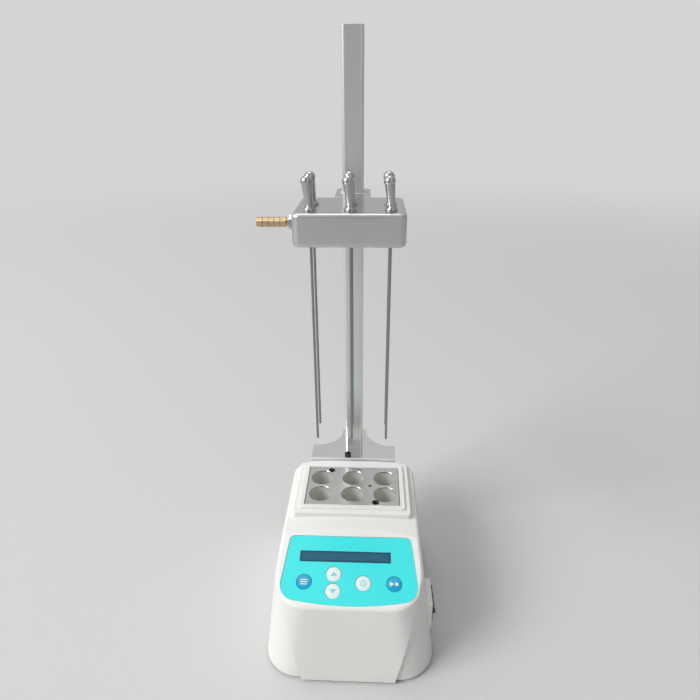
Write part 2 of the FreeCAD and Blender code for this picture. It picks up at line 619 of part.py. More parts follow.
block_cuts = []
for x, y, tag in WELLS:
    block_cuts.append(rod("well_" + tag, x, y, "block_top - well_depth", "well_radius", "well_depth + past"))
    block_cuts.append(taper("well_rim_" + tag, x, y, "block_top - well_chamfer", "well_radius",
                            "well_radius + well_chamfer * 2", "well_chamfer * 2"))
for x, y, tag in FIXINGS:
    block_cuts.append(rod("fixing_room_" + tag, x, y, "block_top - fixing_sink - head_height",
                          "fixing_head + seat_gap / 2", "fixing_sink + head_height + past"))
    block_cuts.append(rod("fixing_way_" + tag, x, y, "block_bottom - past", "fixing_radius + seat_gap / 2",
                          "block_height"))
block_cuts.append(rod("probe_hole", "probe_hole_x", "block_y", "block_top - probe_hole_depth", "probe_hole_radius",
                      "probe_hole_depth + past"))
block_body = mid_box("block_body", "0", "block_y", "block_bottom", "block_width", "block_depth", "block_height")
node(cut("heating_block_cut", block_body, *block_cuts), "heating_block")

fixings = []
for x, y, tag in FIXINGS:
    head = rod("fixing_head_" + tag, x, y, "block_top - fixing_sink - head_height", "fixing_head", "head_height")
    shank = rod("fixing_shank_" + tag, x, y, "heater_bottom + heater_thickness / 2", "fixing_radius",
                "block_top - fixing_sink - head_height / 2 - heater_bottom - heater_thickness / 2")
    socket = hexagon("fixing_socket_" + tag, x, y, "block_top - fixing_sink - head_height / 2", "fixing_head * 0.55",
                     "head_height")
    fixings.append(cut("fixing_screw_" + tag, fuse("fixing_solid_" + tag, head, shank), socket))
node(group("fixing_set", *fixings), "block_screws")

heater_body = mid_box("heater_body", "0", "block_y", "heater_bottom", "block_width", "block_depth",
                      "heater_thickness")
heater_cuts = [rod("heater_tap_" + tag, x, y, "heater_bottom + heater_thickness / 2", "fixing_radius + seat_gap / 3",
                   "heater_thickness") for x, y, tag in FIXINGS]
sensor_z = "heater_bottom + heater_thickness / 2"
heater_cuts.append(rod("sensor_way", "0", "block_y - block_depth / 2 - past", sensor_z,
                       "sensor_radius + seat_gap / 3", "sensor_length - sensor_radius", "y"))
node(cut("heater_plate_cut", heater_body, *heater_cuts), "heater_plate")
node(mid_box("insulation_body", "0", "block_y", "pad_bottom", "block_width", "block_depth", "pad_thickness"),
     "insulation_pad")
node(rod("sensor_probe", "0", "block_y - block_depth / 2 - sensor_radius * 2.5", sensor_z, "sensor_radius",
         "sensor_length", "y"),
     "temperature_sensor")


# Main board on the base plate

main_board = mid_box("main_board_sheet", "0", "main_board_y", "main_board_z", "main_board_width", "main_board_depth",
                     "board_thickness")
on_board = "main_board_z + board_thickness - solder_sink"
board_parts = [
    mid_box("relay", "-main_board_width / 2 + relay_side", "relay_y", on_board, "relay_width", "relay_depth",
            "relay_height"),
    mid_box("heat_sink", "main_board_width / 2 - sink_side", "sink_y", on_board, "sink_width", "sink_depth",
            "sink_height"),
    mid_box("terminals", "terminal_x", "main_board_y + main_board_depth / 2 - terminal_inset", on_board,
            "terminal_width", "terminal_depth", "terminal_height"),
    mid_box("processor", "chip_x", "chip_y", on_board, "chip_size", "chip_size", "chip_height"),
]
CAPACITORS = 3
for index in range(CAPACITORS):
    board_parts.append(rod("capacitor_%d" % index,
                           "main_board_width / 2 - capacitor_inset - %d * capacitor_pitch" % index,
                           "main_board_y - main_board_depth / 2 + capacitor_inset", on_board, "capacitor_radius",
                           "capacitor_height"))
node(fuse("main_board_solid", main_board, *board_parts), "control_board")


# Display board, its display, the window, the overlay and the keys, all in the panel's frame

display_sheet = panel_box("display_sheet", "0", "board_start + board_length / 2", "-board_n - board_thickness",
                          "board_width", "board_length", "board_thickness")
domes = [panel_rod("dome_" + tag, u, v, "-board_n - board_thickness / 2", "key_radius * 0.6",
                   "board_n + board_thickness / 2 - panel_under - key_flange - key_travel - key_gap")
         for tag, u, v in KEYS]
screw_ways = [panel_rod("board_way_" + tag, u, v, "-board_n - board_thickness * 2", "small_screw + seat_gap / 2",
                        "board_thickness * 3")
              for u, v, tag in BOARD_SCREWS]
node(cut("display_board_cut", fuse("display_board_solid", display_sheet, *domes), *screw_ways), "display_board")

board_screws = []
for u, v, tag in BOARD_SCREWS:
    head = panel_rod("board_head_" + tag, u, v, "-board_n - board_thickness - small_head_height", "small_head",
                     "small_head_height")
    shank = panel_rod("board_shank_" + tag, u, v, "-board_n - board_thickness - small_head_height / 2", "small_screw",
                      "board_thickness + small_head_height / 2 + small_screw * 2")
    board_screws.append(fuse("board_screw_" + tag, head, shank))
node(group("board_screw_set", *board_screws), "board_screws")

node(panel_box("lcd_body", "window_shift", "window_down", "-board_n", "lcd_width", "lcd_height", "lcd_thickness"),
     "lcd_module")
node(panel_box("window_body", "window_shift", "window_down", "-panel_recess", "window_width", "window_height",
               "window_thickness"), "lcd_window")

overlay_sheet = panel_sheet("overlay_form", "0", "-panel_recess", "overlay_thickness")
overlay_window = panel_box("overlay_window", "window_shift", "window_down", "-panel_recess * 2",
                           "window_width + seat_gap", "window_height + seat_gap", "panel_recess * 3")
overlay_holes = [panel_rod("overlay_hole_" + tag, u, v, "-panel_recess * 2", "key_hole", "panel_recess * 3")
                 for tag, u, v in KEYS]
node(cut("panel_overlay_cut", overlay_sheet, overlay_window, *overlay_holes), "panel_overlay")


def key_cap(tag, u, v):
    """A low-domed key with a flange that keeps it under the panel."""
    body = new_body(tag)
    foot = "-(panel_under + key_flange)"
    catch = "-(panel_under + key_gap)"
    brow = "-key_sink - key_dome"
    profile = outline(body, "section", "XZ_Plane", [
        ("0", foot), ("key_radius + key_catch", foot), ("key_radius + key_catch", catch), ("key_radius", catch),
        ("key_radius", brow, "(key_radius ^ 2 + key_dome ^ 2) / (2 * key_dome)"), ("0", "-key_sink")])
    spin(body, profile, "turned")
    return put_on_panel(body, u, v, "0")


for tag, u, v in KEYS:
    node(key_cap(tag, u, v), tag)


# Power switch in its pod, and the power inlet at the back

frame_lip = mid_box("switch_lip_plate", "pod_face + switch_lip / 2", "pod_y", "pod_z - switch_height / 2",
                    "switch_lip", "switch_width", "switch_height")
switch_in = mid_box("switch_inside", "pod_face - switch_body / 2", "pod_y",
                    "pod_z - switch_height / 2 + switch_rim + seat_gap", "switch_body",
                    "switch_width - 2 * switch_rim - 2 * seat_gap", "switch_height - 2 * switch_rim - 2 * seat_gap")
ROCKER_ROOM_Y = "switch_width - 2 * (switch_rim + seat_gap + switch_wall)"
ROCKER_ROOM_Z = "switch_height - 2 * (switch_rim + seat_gap + switch_wall)"
rocker_room = mid_box("rocker_room", "pod_face", "pod_y", "pod_z - (%s) / 2" % ROCKER_ROOM_Z, "2 * rocker_room",
                      ROCKER_ROOM_Y, ROCKER_ROOM_Z)
node(cut("switch_body_cut", fuse("switch_body_solid", frame_lip, switch_in), rocker_room), "switch_body")

rocker_body = new_body("rocker_form")
rocker_reach = "(%s) / 2 - rocker_gap" % ROCKER_ROOM_Z
rocker_low = "-(%s)" % rocker_reach
rocker_profile = outline(rocker_body, "section", "XZ_Plane", [
    ("-rocker_root", "(%s) * 0.55" % rocker_low), ("rocker_gap", rocker_low),
    ("rocker_rise + rocker_horn", rocker_low), ("rocker_rise", "0"), ("rocker_rise + rocker_horn", rocker_reach),
    ("rocker_gap", rocker_reach), ("-rocker_root", "(%s) * 0.55" % rocker_reach)])
rocker_pad = pad(rocker_body, rocker_profile, "rocker_width", "(%s) - 2 * rocker_gap" % ROCKER_ROOM_Y)
rocker_pad.Midplane = True
put(rocker_body, "pod_face", "pod_y", "pod_z", Vector(0, 1, 0), "rocker_tilt")
node(rocker_body, "switch_rocker")

inlet_rim = rod("inlet_rim", "inlet_x", "housing_rear", "inlet_z", "inlet_radius", "inlet_flange", "y")
inlet_barrel = rod("inlet_barrel", "inlet_x", "housing_rear - inlet_depth", "inlet_z", "inlet_radius - inlet_lip",
                   "inlet_depth + inlet_flange / 2", "y")
inlet_room = rod("inlet_room", "inlet_x", "housing_rear - inlet_depth + inlet_floor", "inlet_z", "inlet_bore",
                 "inlet_depth", "y")
inlet_tip = rod("inlet_tip", "inlet_x", "housing_rear - inlet_depth + inlet_floor / 2", "inlet_z", "inlet_pin",
                "inlet_depth - inlet_floor / 2 - inlet_lip", "y")
inlet_cup = cut("inlet_cup", fuse("inlet_solid", inlet_rim, inlet_barrel), inlet_room)
node(fuse("power_inlet_solid", inlet_cup, inlet_tip), "power_inlet")


# Stand bracket: a plate on the rear wall, bent into a shelf with two concave shoulders that carries the pole

shelf_body = new_body("shelf_form")
half_wide = "bracket_width / 2"
half_neck = "neck_width / 2"
rear_edge = "housing_rear + shelf_depth"
shelf_outline = outline(shelf_body, "shelf_outline", "XY_Plane", [
    ("-" + half_wide, "housing_rear"), (half_wide, "housing_rear"), (half_wide, rear_edge),
    (half_neck + " + shoulder", rear_edge, "-shoulder"), (half_neck, rear_edge + " + shoulder"),
    (half_neck, "housing_rear + neck_end"), ("-" + half_neck, "housing_rear + neck_end"),
    ("-" + half_neck, rear_edge + " + shoulder", "-shoulder"), ("-(%s + shoulder)" % half_neck, rear_edge),
    ("-" + half_wide, rear_edge)])
pad(shelf_body, shelf_outline, "shelf", "bracket_thickness")
put(shelf_body, "stand_x", "0", "shelf_under")
back_plate = mid_box("back_plate", "stand_x", "housing_rear + bracket_thickness / 2", "shelf_top - bracket_drop",
                     "bracket_width", "bracket_thickness", "bracket_drop")
bend = rod("bend_fill", "stand_x - " + half_wide, "housing_rear + bracket_thickness", "shelf_under",
           "bracket_thickness / 2", "bracket_width", "x")
slot = mid_box("front_slot", "slot_x", "housing_rear", "shelf_under + head_sink - slot_height", "slot_width",
               "bracket_thickness", "slot_height")
bracket_cuts = [rod("bracket_hole_" + tag, x, "housing_rear - past", z, "fixing_radius + seat_gap / 2",
                    "bracket_thickness * 2", "y") for x, z, tag in BRACKET_SCREWS]
bracket_cuts.append(rod("shelf_way", "stand_x", "pole_y", "shelf_under - past", "pole_screw_radius + seat_gap / 2",
                        "bracket_thickness + 2 * past"))
bracket_cuts.append(rod("cap_way", "shelf_screw_x", "shelf_screw_y", "shelf_under - bracket_thickness",
                        "fixing_radius + seat_gap / 2", "bracket_thickness * 3"))
node(cut("stand_bracket_cut", fuse("bracket_solid", shelf_body, back_plate, bend), slot, *bracket_cuts),
     "stand_bracket")

bracket_screws = []
for x, z, tag in BRACKET_SCREWS:
    head = rod("bracket_head_" + tag, x, "housing_rear + bracket_thickness", z, "wide_head", "head_height / 2", "y")
    shank = rod("bracket_shank_" + tag, x, "housing_rear - wall * 2", z, "fixing_radius",
                "wall * 2 + bracket_thickness + head_height / 4", "y")
    bracket_screws.append(fuse("bracket_screw_" + tag, head, shank))
node(group("bracket_screw_set", *bracket_screws), "bracket_screws")

cap_head = rod("cap_head", "shelf_screw_x", "shelf_screw_y", "shelf_top", "shelf_screw_head", "head_height")
cap_shank = rod("cap_shank", "shelf_screw_x", "shelf_screw_y", "shelf_under - bracket_thickness", "fixing_radius",
                "bracket_thickness * 2 + head_height / 2")
cap_socket = hexagon("cap_socket", "shelf_screw_x", "shelf_screw_y", "shelf_top + head_height / 2",
                     "shelf_screw_head * 0.55", "head_height")
node(cut("shelf_screw_cut", fuse("shelf_screw_solid", cap_head, cap_shank), cap_socket), "shelf_screw")


def pole_edges(edge):
    return size("pole_chamfer") if edge.BoundBox.ZLength > size("pole_length") / 2 else None


POLE_ROOM = "pole_size - 2 * pole_wall"
PLUG_SIDE = "pole_size - 2 * pole_wall - 2 * plug_gap"
pole_bar = mid_box("pole_bar", "stand_x", "pole_y", "shelf_top", "pole_size", "pole_size", "pole_length")
pole_soft = rounded("pole_soft", pole_bar, pole_edges)
pole_room = mid_box("pole_room", "stand_x", "pole_y", "shelf_top - past", POLE_ROOM, POLE_ROOM,
                    "pole_length + 2 * past")
node(cut("pole_cut", pole_soft, pole_room), "pole")
node(mid_box("pole_cap_block", "stand_x", "pole_y", "pole_top - cap_length", PLUG_SIDE, PLUG_SIDE, "cap_length"),
     "pole_cap")
plug_block = mid_box("plug_block", "stand_x", "pole_y", "shelf_top", PLUG_SIDE, PLUG_SIDE, "plug_length")
plug_tap = rod("plug_tap", "stand_x", "pole_y", "shelf_top - past", "pole_screw_radius + seat_gap / 3", "plug_length")
node(cut("pole_plug_cut", plug_block, plug_tap), "pole_plug")
pole_head = hexagon("pole_screw_head", "stand_x", "pole_y", "shelf_under - head_height", "pole_nut", "head_height")
pole_shank = rod("pole_screw_shank", "stand_x", "pole_y", "shelf_under - head_height / 2", "pole_screw_radius",
                 "head_height / 2 + bracket_thickness + plug_length * 0.8")
node(fuse("pole_screw_solid", pole_head, pole_shank), "pole_screw")


# Carriage that slides on the pole, its plastic liner and its clamp knob

sleeve = box("sleeve_block", "stand_x - sleeve_half", "bar_y1", "arm_z", "2 * sleeve_half", "sleeve_y1 - bar_y1",
             "arm_height")


def sleeve_edges(edge):
    rear = middle(edge).y > size("sleeve_y1") - 0.1
    return size("sleeve_wall") if rear and edge.BoundBox.ZLength > 1 else None


sleeve_soft = rounded("sleeve_soft", sleeve, sleeve_edges)
sleeve_way = mid_box("sleeve_way", "stand_x", "pole_y", "arm_z - past", "2 * sleeve_hole", "2 * sleeve_hole",
                     "arm_height + 2 * past")
clamp_way = rod("clamp_way", "stand_x", "pole_y + sleeve_hole - past", "clamp_z", "clamp_screw_radius + slide_gap",
                "sleeve_rear_wall + 3 * past", "y")
node(cut("carriage_cut", sleeve_soft, sleeve_way, clamp_way), "carriage")

liner_block = mid_box("liner_block", "stand_x", "pole_y", "arm_z", "2 * sleeve_hole", "2 * sleeve_hole", "arm_height")
liner_way = mid_box("liner_way", "stand_x", "pole_y", "arm_z - past", "2 * liner_half", "2 * liner_half",
                    "arm_height + 2 * past")


def liner_edges(edge):
    return size("pole_chamfer") * 0.75 if edge.BoundBox.ZLength > 1 else None


liner_hole = rod("liner_clamp_way", "stand_x", "pole_y", "clamp_z", "clamp_screw_radius + slide_gap",
                 "sleeve_hole + past", "y")
node(cut("carriage_liner_cut", liner_block, rounded("liner_way_soft", liner_way, liner_edges), liner_hole),
     "carriage_liner")

KNOB_LOBES = 6
SCALLOP_REACH = "knob_radius * 1.22"
knob_disc = rod("knob_disc", "stand_x", "knob_y + knob_step", "clamp_z", "knob_radius", "knob_length - knob_step",
                "y")
knob_hub = rod("knob_hub", "stand_x", "knob_y", "clamp_z", "knob_radius * 0.55", "knob_length", "y")
scallops = []
for lobe in range(KNOB_LOBES):
    angle = 360.0 / KNOB_LOBES * (lobe + 0.5)
    scallops.append(rod("scallop_%d" % lobe, "stand_x + %s * cos(%g)" % (SCALLOP_REACH, angle), "knob_y",
                        "clamp_z + %s * sin(%g)" % (SCALLOP_REACH, angle), "knob_radius * 0.4",
                        "knob_length + past", "y"))
knob_tap = rod("knob_tap", "stand_x", "knob_y - past", "clamp_z", "clamp_screw_radius + plug_gap",
               "knob_length * 0.7 + plug_gap + past", "y")
node(cut("clamp_knob_cut", fuse("knob_solid", knob_disc, knob_hub), *scallops, knob_tap), "clamp_knob")
node(rod("clamp_screw_rod", "stand_x", "pole_rear + slide_gap", "clamp_z", "clamp_screw_radius",
         "knob_y - pole_rear - slide_gap + knob_length * 0.7", "y"), "clamp_screw")


# Gas head: hollow body with a bottom cover, a rear bar, six valves, six needles and a hose barb

def soft_block(name, x, y, z, dx, dy, dz, keep_sharp):
    """A box with rounded edges, apart from those that keep_sharp names."""
    block = box(name + "_block", x, y, z, dx, dy, dz)

    def choose(edge):
        upright = edge.BoundBox.ZLength > size("arm_height") / 2
        return None if keep_sharp(edge) else size("head_corner" if upright else "head_round")
    return rounded(name, block, choose)


def at_seam(edge):
    return abs(middle(edge).y - size("head_y1")) < 0.01


head = soft_block("head_form", "head_x0", "head_y0", "arm_z", "head_width", "head_front + head_rear", "arm_height",
                  at_seam)
chamber = box("chamber", "head_x0 + head_wall + cover_inset", "head_y0 + head_wall + cover_inset", "arm_z - past",
              "head_width - 2 * (head_wall + cover_inset)", "head_front + head_rear - 2 * (head_wall + cover_inset)",
              "arm_height - head_wall + past")
COVER_X = "head_x0 + cover_inset"
COVER_Y = "head_y0 + cover_inset"
COVER_WIDTH = "head_width - 2 * cover_inset"
COVER_DEPTH = "head_front + head_rear - 2 * cover_inset"
cover_seat = box("cover_seat", COVER_X + " - seat_gap", COVER_Y + " - seat_gap", "arm_z - past",
                 COVER_WIDTH + " + 2 * seat_gap", COVER_DEPTH + " + 2 * seat_gap",
                 "past + cover_thickness + gasket_thickness")
barb_way = rod("barb_way", "head_x0 - past", "block_y", "barb_z", "barb_neck + seat_gap / 3", "head_wall * 3", "x")
valve_ways = [rod("valve_way_" + tag, x, y, "arm_top - head_wall - past", "valve_hole", "head_wall + 2 * past")
              for x, y, tag in NEEDLES]
valve_ways += [rod("valve_seat_" + tag, x, y, "arm_top - seat_depth", "collar_bore", "seat_depth + past")
               for x, y, tag in NEEDLES]

COVER_SCREWS = []
for sx, side in SIDES:
    for end, y in (("front", "head_y0 + cover_inset + cover_screw_inset"),
                   ("rear", "head_y1 - cover_inset - cover_screw_inset")):
        COVER_SCREWS.append(("stand_x + %d * well_pitch_x / 2" % sx, y, side + "_" + end))


def cover_screw(name, x, y, gap):
    """A countersunk screw that lies flush with the cover, or the room for it when there is a gap."""
    head = taper(name + "_head", x, y, "arm_z", "cover_screw_head + %s" % gap, "cover_screw_radius + %s" % gap,
                 "cover_screw_head - cover_screw_radius")
    shank = rod(name + "_shank", x, y, "arm_z", "cover_screw_radius + %s" % gap, "cover_screw_length")
    return fuse(name, head, shank)


cover_rooms = [cover_screw("cover_room_" + tag, x, y, "seat_gap / 3") for x, y, tag in COVER_SCREWS]
node(cut("manifold_body_cut", head, chamber, cover_seat, barb_way, *valve_ways, *cover_rooms), "manifold_body")

gasket_block = box("gasket_block", COVER_X, COVER_Y, "arm_z + cover_thickness", COVER_WIDTH, COVER_DEPTH,
                   "gasket_thickness")
node(cut("gasket_cut", gasket_block, chamber, *cover_rooms), "manifold_gasket")
cover_block = box("cover_block", COVER_X, COVER_Y, "arm_z", COVER_WIDTH, COVER_DEPTH, "cover_thickness")
needle_ways = [rod("needle_way_" + tag, x, y, "arm_z - past", "needle_radius + seat_gap / 3",
                   "cover_thickness + 2 * past") for x, y, tag in NEEDLES]
node(cut("manifold_cover_cut", cover_block, *needle_ways, *cover_rooms), "manifold_cover")
node(group("cover_screw_set", *[cover_screw("cover_screw_" + tag, x, y, "0") for x, y, tag in COVER_SCREWS]),
     "manifold_screws")

node(soft_block("bar_form", "head_x0", "head_y1", "arm_z", "head_width", "bar_depth", "arm_height", at_seam),
     "arm_bar")

collars = []
for x, y, tag in NEEDLES:
    ring = rod("collar_ring_" + tag, x, y, "arm_top", "collar_radius", "collar_height / 2")
    brow = taper("collar_brow_" + tag, x, y, "arm_top + collar_height / 2", "collar_radius", "collar_top",
                 "collar_height / 2")
    hole = rod("collar_hole_" + tag, x, y, "arm_top - past", "collar_bore", "collar_height + 2 * past")
    collars.append(cut("collar_" + tag, fuse("collar_solid_" + tag, ring, brow), hole))
node(group("collar_set", *collars), "valve_collars")


def valve_lever(tag, x, y):
    """A bat handle: a ball at its pivot, a shank that swells upwards and a domed head with a brow."""
    body = new_body(tag)
    ball_side = "sqrt(lever_ball ^ 2 - lever_neck ^ 2)"
    dome_z = "lever_length - lever_head"
    profile = outline(body, "section", "XZ_Plane", [
        ("0", "-lever_ball", "lever_ball"), ("lever_ball", "0", "lever_ball"),
        ("lever_neck", ball_side), ("lever_shank", dome_z + " - lever_brow"),
        ("lever_head", dome_z, "lever_head"), ("0", "lever_length")])
    spin(body, profile, "turned")
    return put(body, x, y, "lever_z", Vector(0, 1, 0), "lever_lean")


for x, y, tag in NEEDLES:
    node(valve_lever("lever_" + tag, x, y), "valve_lever_" + tag)

node(group("needle_set", *[rod("needle_" + tag, x, y, "arm_z - needle_reach", "needle_radius",
                               "needle_reach + cover_thickness * 2") for x, y, tag in NEEDLES]), "needles")
fittings = []
for x, y, tag in NEEDLES:
    block = rod("fitting_block_" + tag, x, y, "arm_z - fitting_length", "fitting_radius", "fitting_length")
    way = rod("fitting_way_" + tag, x, y, "arm_z - fitting_length - past", "needle_radius + seat_gap / 3",
              "fitting_length + 2 * past")
    fittings.append(cut("fitting_" + tag, block, way))
node(group("fitting_set", *fittings), "needle_fittings")

BARB_RINGS = 5
barb_body = new_body("barb_form")
barb_start = "head_width / 2 + barb_nut + barb_plain"
barb_inner = "-(head_width / 2 - head_wall * 2)"
barb_points = [(barb_inner, "barb_bore"), (barb_inner, "barb_neck"), ("-(%s)" % barb_start, "barb_neck")]
for ring in range(BARB_RINGS):
    root = "-(%s + (barb_length - barb_plain) * %g)" % (barb_start, ring / BARB_RINGS)
    tip = "-(%s + (barb_length - barb_plain) * %g)" % (barb_start, (ring + 1) / BARB_RINGS)
    barb_points += [(root, "barb_radius"), (tip, "barb_root")]
barb_points.append(("-(%s + barb_length - barb_plain)" % barb_start, "barb_bore"))
barb_section = outline(barb_body, "section", "XY_Plane", barb_points)
spin(barb_body, barb_section, "turned", "H_Axis")
put(barb_body, "stand_x", "block_y", "barb_z")
node(barb_body, "hose_barb")
nut = hexagon("barb_nut_hex", "head_x0 - barb_nut", "block_y", "barb_z", "barb_nut_radius", "barb_nut", "x")
nut_way = rod("barb_nut_way", "head_x0 - barb_nut - past", "block_y", "barb_z", "barb_neck + seat_gap / 3",
              "barb_nut + 2 * past", "x")
node(cut("barb_nut_cut", nut, nut_way), "barb_nut")


# Build, check and write

doc.recompute()
faults = [item.Name for item in doc.Objects if "Invalid" in item.State or "Error" in item.State]
for item in NODES:
    if item.Shape.isNull() or not item.Shape.isValid() or item.Shape.Volume <= 0:
        faults.append(item.Label)
if faults:
    raise RuntimeError("these did not build: " + ", ".join(faults))
os.makedirs("parts", exist_ok=True)
for item in NODES:
    item.Shape.exportStep(os.path.join("parts", item.Label + ".step"))
    print("%-20s %3d solids %10.1f mm3" % (item.Label, len(item.Shape.Solids), item.Shape.Volume))
print(len(NODES), "nodes")
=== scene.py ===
import json
import math

import bmesh
import bpy
from mathutils import Matrix, Vector

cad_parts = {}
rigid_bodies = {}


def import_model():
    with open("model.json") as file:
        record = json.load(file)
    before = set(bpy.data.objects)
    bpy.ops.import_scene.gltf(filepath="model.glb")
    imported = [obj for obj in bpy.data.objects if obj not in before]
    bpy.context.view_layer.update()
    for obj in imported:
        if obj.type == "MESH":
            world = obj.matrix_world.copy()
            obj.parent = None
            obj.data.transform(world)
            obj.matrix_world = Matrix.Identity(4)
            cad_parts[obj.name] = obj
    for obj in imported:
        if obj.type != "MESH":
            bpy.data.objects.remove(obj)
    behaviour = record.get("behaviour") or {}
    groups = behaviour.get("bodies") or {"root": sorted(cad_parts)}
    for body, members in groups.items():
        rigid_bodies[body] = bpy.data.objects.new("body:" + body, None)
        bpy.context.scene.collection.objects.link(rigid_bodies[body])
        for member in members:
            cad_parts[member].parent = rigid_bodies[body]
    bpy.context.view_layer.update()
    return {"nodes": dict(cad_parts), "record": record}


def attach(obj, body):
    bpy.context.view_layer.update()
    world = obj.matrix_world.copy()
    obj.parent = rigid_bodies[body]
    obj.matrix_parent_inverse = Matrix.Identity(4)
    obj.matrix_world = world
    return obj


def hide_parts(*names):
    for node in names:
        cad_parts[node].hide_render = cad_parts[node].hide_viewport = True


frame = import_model()
NODES = frame["nodes"]
MM = 0.001

# Places and sizes that the finishes and the added pieces share with the solids, in millimetres
DECK_HEIGHT = 85.4
PANEL_START = 9.1
PANEL_TILT = math.radians(18.5)
WINDOW_AT = (-3.3, 22.4)
KEY_PLACES = {"left_key": (-31.8, 41.4), "up_key": (-11.1, 35.4), "down_key": (-11.1, 47.4),
              "middle_key": (10.0, 41.4), "right_key": (31.8, 41.4)}
BLUE_KEYS = ("left_key", "right_key")
BLOCK_Y = 35.0
STAND_X = -1.0
NEEDLE_X = -0.4
WELL_PITCH = (26.0, 20.4)
WELL_RADIUS = 9.05
BLOCK_TOP = 90.0
ARM_Z = 295.0
ARM_TOP = 316.5
POD_FACE = (60.0, -35.6, 40.0)
FEET_Y = 5.3

# Sizes of what the finishes draw, in millimetres
WELL_MARGIN = 0.3
WELL_RIM_DEPTH = 1.2
DISPLAY_HALF = (31.4, 2.9)
CELL_COUNT = 16
CELL_PITCH = 3.75
CELL_HALF_GAP = 0.3
CELL_HALF_HEIGHT = 2.35
HALF_LINE = 0.32
BAR_STEP = 1.55
BAR_REACH = 2.5
ARROW_SLOPE = (0.80, 0.60)
ARROW_REACH = 1.15
ARROW_FOOT = 1.35
RING_RADIUS = 1.9
DOT_RADIUS = 0.5
PLAY_SLOPE = (0.86, 0.5)
PLAY_REACH = 0.75
PLAY_SHIFT = 1.7
PLAY_FOOT = 3.0
STOP_AT = 1.75
STOP_HALF = 1.05
ROCKER_MARK_AT = 3.6
ROCKER_BAR_HALF = (0.3, 1.3)
ROCKER_RING_RADIUS = 1.1
ROCKER_HALF_LINE = 0.26
FINE_EDGE = 0.12
KEY_PRINT_EDGE = 0.14
SOFT_EDGE = 0.3

# How edges are found and joined: a distance in metres, angles, and the steps of a round
WELD_DISTANCE = 2e-6
FLAT_ANGLE = math.radians(0.4)
ROUNDED_ANGLE = math.radians(38)
SHARP_ANGLE = math.radians(32)
ROUND_STEPS = 2

# Proportions of the grown pieces
BLADE_SHARE = 0.24
SHANK_TIP_SHARE = 0.8
SHANK_SIDES = 24
HEX_SHARE = 0.6
NOSE_FLARE = 1.2
CUP_DEPTH_SHARE = 0.5
CUP_TOP_SHARE = 0.85

# Axes of a direction, by index
ACROSS, BACK, UP = 0, 1, 2


def panel(u, v, n=0.0):
    """A point of the panel in metres: u across, v down the slope, n out of it, in millimetres."""
    y = -PANEL_START - v * math.cos(PANEL_TILT) - n * math.sin(PANEL_TILT)
    z = DECK_HEIGHT - v * math.sin(PANEL_TILT) + n * math.cos(PANEL_TILT)
    return Vector((u, y, z)) * MM


# Node trees written as expressions

class Sock:
    """One output of a node; arithmetic on it adds Math nodes."""

    def __init__(self, graph, socket):
        self.graph = graph
        self.socket = socket

    def maths(self, operation, *values, clamp=False):
        settings = {"operation": operation, "use_clamp": clamp}
        return self.graph.node("ShaderNodeMath", settings, dict(enumerate(values)))

    def __add__(self, other):
        return self.maths("ADD", self, other)

    __radd__ = __add__

    def __sub__(self, other):
        return self.maths("SUBTRACT", self, other)

    def __rsub__(self, other):
        return self.maths("SUBTRACT", other, self)

    def __mul__(self, other):
        return self.maths("MULTIPLY", self, other)

    __rmul__ = __mul__

    def __abs__(self):
        return self.maths("ABSOLUTE", self)

    def least(self, other):
        return self.maths("MINIMUM", self, other)

    def most(self, other):
        return self.maths("MAXIMUM", self, other)

    def within(self, soft):
        """1 where the value is below zero, 0 where it is above, over a soft edge."""
        return self.maths("MULTIPLY_ADD", self, -1.0 / soft, 0.5, clamp=True)


class Graph:
    """A node tree under construction."""

    def __init__(self, tree):
        self.nodes = tree.nodes
        self.links = tree.links

    def node(self, kind, settings=None, values=None, out=0):
        """Add one node: its settings first, then the values or links of its sockets."""
        item = self.nodes.new(kind)
        for key, value in (settings or {}).items():
            if key == "stops":
                ramp = item.color_ramp.elements
                while len(ramp) < len(value):
                    ramp.new(0.5)
                for stop, (place, colour) in zip(ramp, value):
                    stop.position = place
                    stop.color = (*colour, 1.0)
            else:
                setattr(item, key, value)
        for key, value in (values or {}).items():
            self.feed(item.inputs[key], value)
        return Sock(self, item.outputs[out])

    def feed(self, socket, value):
        if isinstance(value, Sock):
            self.links.new(value.socket, socket)
        else:
            socket.default_value = value


